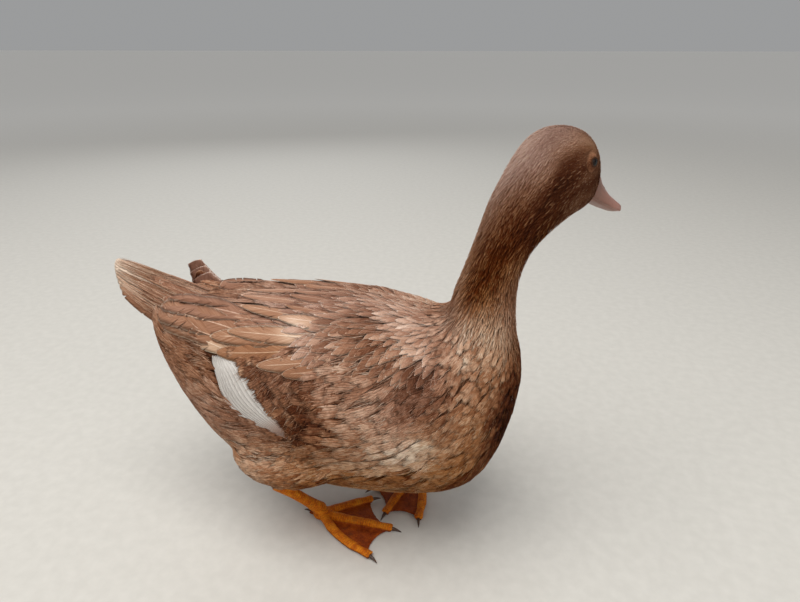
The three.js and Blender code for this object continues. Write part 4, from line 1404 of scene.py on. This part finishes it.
# %% Velvet on the lids
def lid_tufts(side, count=420):
    """Velvet on the lids: short tufts that part in front of the eye and meet again behind it."""
    middle, out, forward, up = eye_frame(side)
    random = np.random.default_rng(14)
    reach = np.sqrt(np.linspace((4.0 * MM) ** 2, (7.6 * MM) ** 2, count))
    turn = np.arange(count) * 2.39996  # the golden angle spreads them evenly
    here = np.stack([reach * np.cos(turn), reach * np.sin(turn)], 1)
    way = unit(np.array([-1.0, -0.2]))
    path = []
    for k in range(4):
        stand = lid_height(*here.T) + (0.05 + 0.06 * k) * MM
        path.append(middle + here[:, :1] * forward + here[:, 1:] * up + stand[:, None] * out)
        far = np.linalg.norm(here, axis=1, keepdims=True)
        parting = (LID_LONG / far) ** 2 * (way - 2 * (here @ way)[:, None] * here / far**2)
        here = here + unit(way + parting) * (1.5 + 0.12 * reach[:, None] / MM) / 3 * MM
    path = np.stack(path, 1)
    rooted = settle(path[:, 0])
    lightness = at(tone, rooted) + random.normal(0, 0.05, count) - 0.06 * ease(reach, 5.0 * MM, 4.0 * MM)
    out = np.broadcast_to(out, path.shape)
    return feathers(tuft_patterns, path, out, 0.40 * MM, lightness, at(warmth, rooted), rooted, seed=15)


head_shape = joined(head_tufts, lid_tufts("right"), lid_tufts("left"))
new_coat("head_coat", head_shape, [fine_plumage])

# %% Neck coat
on_neck = (along > 0.084) & (along < 0.165)
roots = scatter(on_neck, 1.55 * MM, 21)
reach = at(along, roots)
count = len(reach)
random = np.random.default_rng(22)
length = np.interp(reach, [0.08, 0.12, 0.165], [8, 10, 14]) * MM * random.uniform(0.85, 1.15, count)
path, out = comb(roots, random.normal(0, 0.12, count), length, steps=4, stiff=0.08)
path = raised(path, out, at(depth, roots) * 0.9, random.normal(0.0, 0.2, count) * MM)
width = np.interp(reach, [0.08, 0.165], [0.7, 0.95]) * MM
lightness = at(tone, roots) + random.normal(0, 0.05, count)
neck_tufts = feathers(tuft_patterns, path, out, width, lightness, at(warmth, roots), roots, seed=23)
print("neck tufts", count)
new_coat("neck_coat", neck_tufts, [fine_plumage])

# %% [markdown]
# ## Places over the wings
# The wing's large feathers bridge hollows, so combing them over the surface would dent them. Their lines
# are given by shares and angles instead, and a ray from outside towards the trunk's middle line finds the
# height of the plumage there.

# %% Places over the wings
# The wing's lower edge is a step. So each place is also tried some degrees back up the side, and a hit
# there counts if it is that much higher.
RAY_LONG = 0.16
STEP_BRIDGES = ((0, 0), (5, 0.8 * MM), (10, 2.5 * MM))
free_triangles = triangles[~in_stub[triangles].any(1)]
stub_free = BVHTree.FromPolygons([Vector(p) for p in spots], free_triangles.tolist())


def over_wing(side, shares, degrees):
    """Places on the outside of a wing, each with the way out there, and its nearest root on the outline."""
    shares, degrees = np.broadcast_arrays(shares, degrees)
    places, ways = np.empty((*shares.shape, 3)), np.empty((*shares.shape, 3))
    faces = np.empty(shares.shape, int)
    for k in np.ndindex(shares.shape):
        best = -1.0
        for back, drop in STEP_BRIDGES:
            turn = math.radians(degrees[k] - back)
            way = Vector((0, side * math.sin(turn), math.cos(turn)))
            middle = Vector((wing_low[0] + shares[k] * WING_LONG, MIDDLE_Y, axis_height(shares[k])))
            _, normal, face, gap_left = stub_free.ray_cast(middle + way * RAY_LONG, -way)
            radius = RAY_LONG - gap_left - drop
            if radius > best:
                best, faces[k] = radius, face
                ways[k] = normal
        turn = math.radians(degrees[k])
        places[k] = middle + Vector((0, side * math.sin(turn), math.cos(turn))) * best
    corners = free_triangles[faces[:, 0]]
    return places, unit(ways), (corners, np.full(corners.shape, 1 / 3))


print(len(free_triangles), "triangles off the stub")

# %% [markdown]
# ## Zones of the body
# Which feathers grow where is said once, as masks over the outline's points, so that coats meet without
# gaps. The soft coat is cut at the bird's middle line and where the rump begins, because as one piece it
# would be too heavy to handle.

# %% Zones
soft_patterns = [soft_pattern(k, fan=0.4 + 0.13 * k, core=0.42) for k in range(4)]
lank_patterns = [soft_pattern(10 + k, fan=0.20 + 0.07 * k, core=0.34) for k in range(4)]
from_axis = spots - np.stack([spots[:, 0], np.full(len(spots), MIDDLE_Y), axis_height(wing_share)], 1)
wing_parts = [BODY_NODES.index("wing_right"), BODY_NODES.index("wing_left")]
on_face = np.isin(part, wing_parts) & ((unit(from_axis) * outward).sum(1) > 0.4) & ~in_stub
mantle_end = np.interp(side_angle, [0, 20, 50], [0.44, 0.50, 0.58])
on_mantle = (side_angle < 52) & (wing_share > mantle_end) & (wing_share < 0.96) & (along > 0.165)
in_covert_angles = (side_angle > covert_top) & (side_angle < flank_edge + 4)
on_wing_middle = (wing_share > 0.28) & (wing_share < 0.66) & in_covert_angles
on_coverts = on_wing_middle & (side_angle < np.where(wing_share < 0.51, covert_edge - 17, flank_edge))
on_filler = on_face & (wing_share < 0.6) & ((side_angle < covert_edge - 12) | (wing_share > 0.56))
white_low = np.interp(wing_share, WHITE_EDGE["share"][::-1], WHITE_EDGE["angle"][::-1])
white_back = np.interp(side_angle, [71, 96, 108], [0.222, 0.245, 0.274])
on_wings = np.isin(part, wing_parts)
on_rim = on_wings & (wing_share < 0.50) & (wing_share > white_back) & (side_angle < white_low + 3)
near_rim = (wing_share < white_back + 0.05) | (side_angle > white_low - 6)
under_white = on_wings & (wing_share < 0.52) & (wing_share > white_back - 0.02) & (side_angle < white_low + 4)
under_white &= near_rim
on_body = (along > 0.148) & ~in_stub & ~on_mantle & ~on_wing_middle & ~on_filler & ~on_rim
on_side = on_body & (along > 0.23)
# name: where, feathers' patterns, gaps between feathers and between strands in mm, half width over length
SOFT_ZONES = {
    "breast_coat": (on_body & (along < 0.235), soft_patterns, 4.7, 1.85, 0.16),
    "flank_right_coat": (on_side & (around < 0) & (along < 0.345), lank_patterns, 5.4, 1.75, 0.165),
    "flank_left_coat": (on_side & (around > -0.01) & (along < 0.345), lank_patterns, 5.4, 1.75, 0.165),
    "rump_right_coat": (on_side & (around < 0) & (along > 0.34), lank_patterns, 5.4, 1.75, 0.165),
    "rump_left_coat": (on_side & (around > -0.01) & (along > 0.34), lank_patterns, 5.4, 1.75, 0.165),
}


print({name: int(zone[0].sum()) for name, zone in SOFT_ZONES.items()}, "points")

# %% [markdown]
# ## Soft coat
# Breast, flanks and rump wear one sort of feather, longer and looser towards the back, with loose strands
# over it where a real coat frays. Sunken ones lie under the white wing feathers, so no skin shows between
# them.

# %% Loose strands
strand_patterns = [strand_pattern(bend) for bend in (-1.2, 0.7, 1.4)]


def strands(zone, gap, seed, lighter=0.05, turn=0.0):
    """Loose fine locks over the soft feathers, which break up their edges."""
    random = np.random.default_rng(seed)
    roots = scatter(zone, gap * MM, seed)
    count = len(roots[0])
    length = np.interp(at(along, roots), [0.15, 0.22, 0.35], [10, 15, 21]) * MM
    length = length * random.uniform(0.7, 1.25, count)
    path, out = comb(roots, turn + random.normal(0, 0.14, count), length, steps=3, stiff=0.03)
    path = raised(path, out, 1.4 * MM, random.normal(0.28, 0.18, count) * MM, power=2.0)
    lightness = at(tone, roots) + lighter + np.where(random.random(count) < 0.35, 0.20, -0.02)
    width = random.uniform(0.28, 0.5, count) * MM
    lightness = lightness + random.normal(0, 0.05, count)
    return feathers(strand_patterns, path, out, width, lightness, at(warmth, roots), roots, seed=seed)

# %% Soft body coat
for seed, (name, (zone, patterns, gap, strand_gap, share)) in enumerate(SOFT_ZONES.items()):
    roots = scatter(zone, gap * MM * np.interp(along, [0.15, 0.20, 0.5], [0.75, 0.95, 1.05]), 31 + seed)
    reach = at(along, roots)
    count = len(reach)
    random = np.random.default_rng(41 + seed)
    length = np.interp(reach, [0.15, 0.20, 0.30], [17, 24, 36]) * MM * random.uniform(0.85, 1.15, count)
    path, out = comb(roots, random.normal(0, 0.10, count), length, steps=5, stiff=0.03)
    path = raised(path, out, at(depth, roots) * 0.42, random.normal(0.0, 0.10, count) * MM, power=3.0)
    soft = feathers(patterns, path, out, length * share, at(tone, roots) + random.normal(0, 0.03, count),
                    at(warmth, roots), roots, camber=0.25 * MM, seed=51 + seed)
    shapes = [soft, strands(zone, strand_gap, 55 + seed)]
    if "rump" in name:  # sunken feathers, which come out from under the white ones
        own_side = (around < 0) if "right" in name else (around > -0.01)
        roots = scatter(under_white & own_side, 4.5 * MM, 75 + seed)
        path, out = comb(roots, 0.0, 27 * MM, steps=5)
        path = raised(path, out, 2.8 * MM, -0.6 * MM, power=1.0)
        # Painted shade: the sunken feathers are darker, as under the white ones.
        shapes.append(feathers(patterns, path, out, 4.5 * MM, at(tone, roots) - 0.08, at(warmth, roots),
                               roots, seed=77))
    print(name, count, "feathers")
    new_coat(name, joined(*shapes), [soft_plumage])

# %% [markdown]
# ## Mantle
# Between the wings the back's feathers are firm, pointed and pale at their margins, and hang a little to
# each side. They are small at the nape and twice as long over the back.

# %% Mantle coat
mantle_patterns = firm_patterns(20, 4, rows=9, tip=0.20, base=0.6, point=(1.7, 0.85))
roots = scatter(on_mantle, np.interp(along, [0.16, 0.24, 0.40], [3.2, 4.6, 6.6]) * MM, 61)
reach = at(along, roots)
count = len(reach)
random = np.random.default_rng(62)
length = np.interp(reach, [0.16, 0.24, 0.40], [12, 18, 30]) * MM * random.uniform(0.8, 1.2, count)
droop = -at(side_sign, roots) * np.radians(np.clip(at(side_angle, roots), 0, 45) * 0.5)
path, out = comb(roots, droop + random.normal(0, 0.17, count), length, steps=5, stiff=0.1)
path = raised(path, out, at(depth, roots) * 0.5, random.normal(0.1, 0.12, count) * MM, power=3.0)
lightness = at(tone, roots) - 0.09 + random.normal(0, 0.05, count)
mantle = feathers(mantle_patterns, path, out, length * 0.215, lightness, at(warmth, roots), roots,
                  camber=0.5 * MM, seed=63)
print("mantle", count)
loose = strands(on_mantle, 2.3, 65, lighter=0.03)
loose["material"] += 1
new_coat("mantle_coat", joined(mantle, loose), [firm_plumage, soft_plumage])

# %% [markdown]
# ## Wings
# From the bottom up a folded wing shows its white secondaries, fanned along its lower edge, then rows of
# dark coverts over their roots, then the big tertials at the back, and over all of these the scapulars that
# hang from the shoulder. Large feathers are placed one by one.

# %% Large wing feathers
# name: root's share and angle, tip's share and angle, half width in mm, lighter, warmth, tip's height in mm
TERTIALS = {
    "cream": (0.330, 66, 0.060, 57.5, 7.5, 0.30, 0.62, -1.7),
    "lower": (0.330, 60, 0.005, 51, 9.5, 0.04, 0.45, -0.3),
    "middle": (0.335, 50, -0.012, 41, 12.5, 0.02, 0.38, 0.2),
    "upper": (0.340, 37, 0.000, 30, 12.5, 0.00, 0.22, 0.6),
    "top": (0.330, 24, 0.010, 19, 11.5, -0.04, 0.22, 1.0),
}
SCAPULARS = {
    "under": (0.540, 52, 0.255, 67, 9.0, 0.00, 0.62, 0.3),
    "hidden": (0.560, 41, 0.226, 57, 9.5, 0.05, 0.50, 0.8),
    "front": (0.620, 43, 0.285, 51, 8.0, 0.11, 0.50, 1.3),
    "lower": (0.660, 52, 0.405, 68, 7.5, 0.08, 0.50, 1.3),
    "lowest": (0.700, 54, 0.490, 69, 7.0, 0.03, 0.50, 1.1),
    "middle": (0.570, 33, 0.295, 29, 8.5, 0.02, 0.45, 1.4),
    "top": (0.600, 16, 0.250, 7, 8.0, 0.04, 0.28, 1.6),
    "inner": (0.640, 9, 0.420, 4, 7.5, -0.02, 0.22, 1.5),
    "outer": (0.640, 33, 0.440, 36, 7.5, 0.06, 0.42, 1.7),
    "cover": (0.650, 24, 0.430, 21, 8.0, 0.00, 0.35, 1.8),
}
tertial_patterns = firm_patterns(30, 4, rows=20, tip=0.58, slits=5, sweep=0.10, base=0.45)
scapular_patterns = firm_patterns(35, 4, rows=18, tip=0.25, sweep=0.14, base=0.5, point=(1.9, 0.7))
secondary_patterns = firm_patterns(40, 3, rows=16, tip=0.82, sweep=0.03, base=0.7)
covert_patterns = [soft_pattern(70 + k, fan=0.35 + 0.1 * k, core=0.5, aspect=0.35) for k in range(4)]
STEPS = 8
STEP_SHARES = np.linspace(0, 1, STEPS + 1)  # along a large feather, from its root to its tip
print("on each wing", len(TERTIALS) + len(SCAPULARS), "large feathers")

# %% White plumage
# White vanes, darker at the covered root and on one side, where the next feather shades them.
WHITES = [(0.25, srgb(168, 156, 150)), (0.5, srgb(214, 208, 202)), (0.8, srgb(236, 234, 230))]
white_plumage, tree, shader = new_material("white_plumage", Roughness=0.6, Specular_IOR_Level=0.3,
                                           Sheen_Weight=0.1)
vane = attribute(tree, "vane")
feather = use_group(tree, vane_tree, {"Vane": vane, "Reach": attribute(tree, "reach"),
                                      "Barbs per metre": 1400.0, "Quill": 0.06, "Fringe": 0.2})
white = ramp(tree, feather["Streak"], WHITES)
white = blend(tree, fit(tree, parts_of(tree, vane)[1], 0.35, 0.05), white, srgb(186, 144, 122))
white = blend(tree, times(tree, feather["Quill"], 0.8), white, srgb(120, 108, 104))
shaded_edge = fit(tree, parts_of(tree, vane)[0], 0.50, 0.90, 0.0, 0.90)
paint(tree, shader, blend(tree, shaded_edge, white, srgb(112, 100, 106)))
emboss(tree, shader, feather["Height"], 0.6, 0.0002)
WING_FINISHES = [flight_plumage, white_plumage, soft_plumage]
WHITE, SOFT = 1, 2  # their places in that list

# %% [markdown]
# ### A wing, sort by sort
# Each sort of feather grows by a rule of its own, so each is a function of the side, -1 for the right and 1
# for the left.

# %% White secondaries
SECONDARIES = 10
EDGE_TICKS = np.linspace(0, 1, 6)  # the tables of the wing's edges have six entries each


def at_edge(edge, shares):
    """Share and angle of places along an edge of the wing, from its front to its back."""
    return np.interp(shares, EDGE_TICKS, edge["share"]), np.interp(shares, EDGE_TICKS, edge["angle"])


def white_secondaries(side):
    """White feathers along the lower edge, the outermost lowest, each a little further up the wing."""
    fan = np.linspace(0.04, 1.2, SECONDARIES)[:, None]
    edge_shares = STEP_SHARES**0.9
    low_share, low_angle = at_edge(WHITE_EDGE, edge_shares)
    top_share, top_angle = at_edge(COVERT_EDGE, edge_shares)
    shares = low_share + fan * (top_share - low_share)
    path, out, hits = over_wing(side, shares, low_angle + fan * (top_angle - low_angle))
    path = raised(path, out, 1.5 * MM, -1.4 * MM + 0.10 * MM * np.arange(SECONDARIES))
    whites = feathers(secondary_patterns, path, out, 3.3 * MM, 0.9, 0.4, hits, camber=0.5 * MM,
                      seed=81 + side)
    whites["material"] += WHITE
    return whites

# %% Tertials and scapulars
TIPS_KEPT_CLEAR = 0.13  # the flight tips stand where the left wing's upper feathers would end


def large_feathers(side, patterns, table):
    """Large feathers one by one, from their table."""
    large = np.array(list(table.values()))
    if side > 0:
        upper = large[:, 3] < 32  # by the angle of their tips
        large[upper, 2] = np.maximum(large[upper, 2], TIPS_KEPT_CLEAR)
    root_share, root_angle, tip_share, tip_angle, half_width, lighter, warm, lift = large.T[..., None]
    shares = root_share + STEP_SHARES * (tip_share - root_share)
    path, out, hits = over_wing(side, shares, root_angle + STEP_SHARES**0.8 * (tip_angle - root_angle))
    path = raised(path, out, 2.2 * MM, lift[:, 0] * MM, power=3.0)
    return feathers(patterns, path, out, half_width[:, 0] * MM, 0.46 + lighter[:, 0], warm[:, 0], hits,
                    camber=1.1 * MM, seed=82 + side)

# %% Feathers in the gaps
def gap_feathers(side, random):
    """Shorter feathers under the large ones, which close the gaps between them."""
    roots = scatter(on_filler & (side_sign == side), 7.5 * MM, 83 + side)
    count = len(roots[0])
    length = np.interp(at(covert_edge - side_angle, roots), [12, 34], [11, 32]) * MM
    path, out = comb(roots, -side * 0.1 + random.normal(0, 0.08, count), length, steps=4)
    sunk = np.minimum(at(depth, roots), 3 * MM)
    path = raised(path, out, sunk, -1.5 * MM + random.normal(0, 0.2, count) * MM)
    return feathers(mantle_patterns, path, out, 5.5 * MM, at(tone, roots) - 0.04, at(warmth, roots), roots,
                    camber=0.5 * MM, seed=85 + side)

# %% Coverts
COVERT_DARK, COVERT_WARM = 0.12, 0.15


def edge_coverts(side):
    """Three rows of larger coverts, whose tips make the upper edge of the white."""
    row_share = np.linspace(0.0, 1.0, 10)[:, None]
    rows, to_tip = [], 1 - STEP_SHARES
    for inward in (0.0, 1.0, 2.0):
        end_share, end_angle = at_edge(COVERT_EDGE, row_share)
        path, out, hits = over_wing(side, end_share + 0.035 * inward + 0.11 * to_tip,
                                    end_angle - 10 * inward - 16 * to_tip)
        path = raised(path, out, 2.0 * MM, (0.1 + 0.3 * inward - 2.2 * inward * row_share[:, 0] ** 2) * MM)
        rows.append(feathers(covert_patterns, path, out, 6.5 * MM, at(tone, hits) - COVERT_DARK,
                             at(warmth, hits) + COVERT_WARM, hits, camber=0.5 * MM, seed=87 + side))
    coverts = joined(*rows)
    coverts["material"] += SOFT
    return coverts


def small_coverts(side, random):
    """Coverts that point back and down across the wing, and loose strands over them."""
    zone = on_coverts & (side_sign == side)
    roots = scatter(zone, 4.3 * MM, 84 + side)
    count = len(roots[0])
    length = np.interp(at(wing_share, roots), [0.25, 0.45, 0.66], [15, 18, 16]) * MM
    length = length * random.uniform(0.85, 1.15, count)
    path, out = comb(roots, -side * 0.75 + random.normal(0, 0.14, count), length, steps=4, stiff=0.05)
    sunk = np.minimum(at(depth, roots), 3 * MM)
    path = raised(path, out, sunk, random.normal(-0.2, 0.2, count) * MM, power=2.0)
    # Painted shade: the coverts are darker the further down the side they grow.
    shade = np.interp(at(side_angle, roots), [45, 75, 95], [0.0, -0.12, -0.19])
    lightness = at(tone, roots) + shade + random.normal(0, 0.06, count)
    coverts = feathers(covert_patterns, path, out, length * 0.30, lightness, at(warmth, roots) + COVERT_WARM,
                       roots, camber=0.5 * MM, seed=86 + side)
    coverts = joined(coverts, strands(zone, 2.2, 88 + side, lighter=-0.04, turn=-side * 0.75))
    coverts["material"] += SOFT
    print("small coverts", count)
    return coverts

# %% Wing coats
for side_name, side in (("right", -1), ("left", 1)):
    random = np.random.default_rng(80 + side)
    shapes = [white_secondaries(side)]
    shapes.append(large_feathers(side, tertial_patterns, TERTIALS))
    shapes.append(large_feathers(side, scapular_patterns, SCAPULARS))
    shapes += [gap_feathers(side, random), edge_coverts(side), small_coverts(side, random)]
    wing = f"wing_{side_name}"
    new_coat(f"{wing}_coat", joined(*shapes), WING_FINISHES, [wing])

# %% [markdown]
# ## Flight tips
# The longest feathers of the folded wings cross over the tail's root, and only their blunt tips stand clear
# there. They follow no surface, so three stiff blades are laid on lines of their own: upright, each one
# lower and a little further to the right than the last, with their rear edges in one line.

# %% Flight tips
FLIGHT_TOP, FLIGHT_LONG, FLIGHT_TAPER = 0.2240, 0.026, 0.5
FLIGHT_REAR, FLIGHT_SIDE = -0.1588, 0.0138  # the rear edges' place at the top, back and to the left
FLIGHT_LEAN, FLIGHT_SPLAY = 0.135, 0.07  # how far it moves forward and left for each metre down
FLIGHT_DROP, FLIGHT_GAP = 6.5 * MM, 1.2 * MM  # from each feather to the next
FLIGHT_HALF = np.array([14.3, 17.9, 21.4])[:, None] * MM  # half the width at the root of each
numbers_down = np.arange(3)[:, None]
level = FLIGHT_TOP - FLIGHT_DROP * numbers_down - FLIGHT_LONG * (1 - STEP_SHARES)
rear_edge = FLIGHT_REAR + FLIGHT_LEAN * (FLIGHT_TOP - level)
flight_side = FLIGHT_SIDE + FLIGHT_SPLAY * (FLIGHT_TOP - level) - FLIGHT_GAP * numbers_down
path = np.stack([rear_edge + FLIGHT_HALF * (1 - FLIGHT_TAPER * STEP_SHARES), flight_side, level], -1)
out = np.broadcast_to(unit(np.array([0.0, -1.0, 0.05])), path.shape)
flight_patterns = firm_patterns(88, 1, rows=34, tip=0.93, slits=0, sweep=0.0, base=1.0, point=(5.0, 0.5),
                                taper=FLIGHT_TAPER)
flights = feathers(flight_patterns, path, out, FLIGHT_HALF[:, 0], 0.36, 0.0, settle(path[:, 0]),
                   camber=0.35 * MM, seed=89)
new_coat("flight_tips", flights, [tip_plumage])

# %% [markdown]
# ## Tail
# A tail is a roof of overlapping stiff feathers, highest in the middle and hanging at both sides. Its
# surface is a formula in two numbers, across and along. Two layers of feathers are laid on it, one under
# the other, with shorter ones over their roots and frayed barbs on top.

# %% Places on the tail
TAIL_ROOT = np.array([-0.1088, MIDDLE_Y, 0.198])
TAIL_LONG, TAIL_RISE = 0.107, math.radians(17)
TAIL_HALF = (0.047, 0.019)  # half its width at the root and at the tips
TAIL_HANG = (0.062, 0.018)  # how far its edges hang below the ridge, at the root and at the tips


def over_tail(across, share):
    """Places on the roof of the tail: across from -1 to 1, and the share of its length."""
    half, hang = (a + (b - a) * np.maximum(share, 0) ** 0.95 for a, b in (TAIL_HALF, TAIL_HANG))
    reach = TAIL_LONG * (1 - 0.13 * across**2) * share
    rise = reach * math.sin(TAIL_RISE) - across**2 * hang
    return TAIL_ROOT + np.stack([-reach * math.cos(TAIL_RISE), across * half, rise], -1)


def tail_paths(across, first, last, level):
    """Centrelines on the roof, from one share of its length to another, with the ways out."""
    share = first + (last - first) * STEP_SHARES
    across = across[:, None] * (0.72 + 0.28 * STEP_SHARES)
    path = over_tail(across, share)
    out = unit(np.cross(over_tail(across + 0.01, share) - path, over_tail(across, share + 0.01) - path))
    out *= np.sign(out[..., 2:])
    return path + out * level[:, None, None], out



# %% Tail feathers
TAIL_COUNT, SHORT_COUNT = 18, 26
# first and last share of the tail's length, half width in mm, and level in mm
TAIL_LAYERS = ((0.10, 1.0, 5.6, 0.0), (0.05, 0.93, 6.5, -2.2))
tail_patterns = firm_patterns(90, 4, rows=18, tip=0.6, slits=4, sweep=0.06, base=0.5)
tail_shapes = []
random = np.random.default_rng(95)
places = np.linspace(-0.97, 0.97, TAIL_COUNT)
for layer, (first, last, half, drop) in enumerate(TAIL_LAYERS):
    level = (drop - 1.8 * np.abs(places)) * MM
    path, out = tail_paths(places * (1 - 0.03 * layer), first, last, level)
    # Painted shade: the outer feathers, which hang lowest, are darker than the ridge, and the under layer
    # darker again.
    lightness = 0.88 - 0.46 * np.abs(places) ** 3 + random.normal(0, 0.07, TAIL_COUNT) - 0.10 * layer
    tail_shapes.append(feathers(tail_patterns, path, out, half * MM, lightness, 0.42, settle(path[:, 0]),
                                camber=0.6 * MM, seed=96 + layer))
places = random.uniform(-0.8, 0.8, SHORT_COUNT)
path, out = tail_paths(places, 0.0, 1.0, random.uniform(0.4, 1.6, SHORT_COUNT) * MM)
path = path[:, :1] + (path - path[:, :1]) * random.uniform(0.35, 0.8, SHORT_COUNT)[:, None, None]
# Painted shade again: the short feathers are darker towards the sides.
lightness = 0.56 - 0.24 * np.abs(places) + random.normal(0, 0.06, SHORT_COUNT)
tail_shapes.append(feathers(tail_patterns, path, out, 5.5 * MM, lightness, 0.3, settle(path[:, 0]),
                            camber=0.5 * MM, seed=99))
print("tail feathers", TAIL_COUNT * len(TAIL_LAYERS) + SHORT_COUNT)

# %% Frayed barbs and the tail coat
# Loose barbs run along the feathers, each over a stretch of three steps.
FRAYED = 420
places = random.uniform(-0.97, 0.97, FRAYED)
path, out = tail_paths(places, 0.0, 1.0, random.uniform(0.2, 1.4, FRAYED) * MM)
begin = random.integers(1, STEPS - 2, FRAYED)
barb_steps = begin[:, None] + np.arange(4)
barb = np.arange(FRAYED)[:, None]
path, out = path[barb, barb_steps], out[barb, barb_steps]
width = random.uniform(0.25, 0.45, FRAYED) * MM
lightness = 0.58 + np.where(random.random(FRAYED) < 0.4, 0.22, 0.0)
frayed = feathers(strand_patterns, path, out, width, lightness, 0.48, settle(path[:, 0]), seed=100)
frayed["material"] += 1
new_coat("tail_coat", joined(*tail_shapes, frayed), [flight_plumage, soft_plumage], ["tail"])

# %% [markdown]
# ## Floor
# A plain pale floor, so that the bird's shadow says where it stands. It is very wide and glows a little far
# off, so it meets the pale background without a dark line.

# %% Floor
FLOOR_HALF = 60.0
floor_corners = [(x * FLOOR_HALF, y * FLOOR_HALF, 0) for x, y in ((-1, -1), (1, -1), (1, 1), (-1, 1))]
floor_mesh = bpy.data.meshes.new("floor")
floor_mesh.from_pydata(floor_corners, [], [(0, 1, 2, 3)])
floor = stand("floor", floor_mesh)
floor_paint, tree, shader = new_material("floor_paint", Roughness=0.75)
speckle = clouds(tree, piece_place(tree), 90.0, 4.0)
paint(tree, shader, ramp(tree, speckle, [(0.35, srgb(205, 202, 195)), (0.7, srgb(211, 208, 201))]))
distance = node(tree, "ShaderNodeVectorMath", {0: piece_place(tree)}, operation="LENGTH").outputs["Value"]
far_glow = fit(tree, distance, 1.0, 4.5)
tree.links.new(blend(tree, far_glow, (0, 0, 0, 1), (0.14, 0.14, 0.14, 1)), shader.inputs["Emission Color"])
shader.inputs["Emission Strength"].default_value = 1.0
floor_mesh.materials.append(floor_paint)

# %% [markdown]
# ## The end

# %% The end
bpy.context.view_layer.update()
print("all made in", round(time.perf_counter() - started, 1), "s")
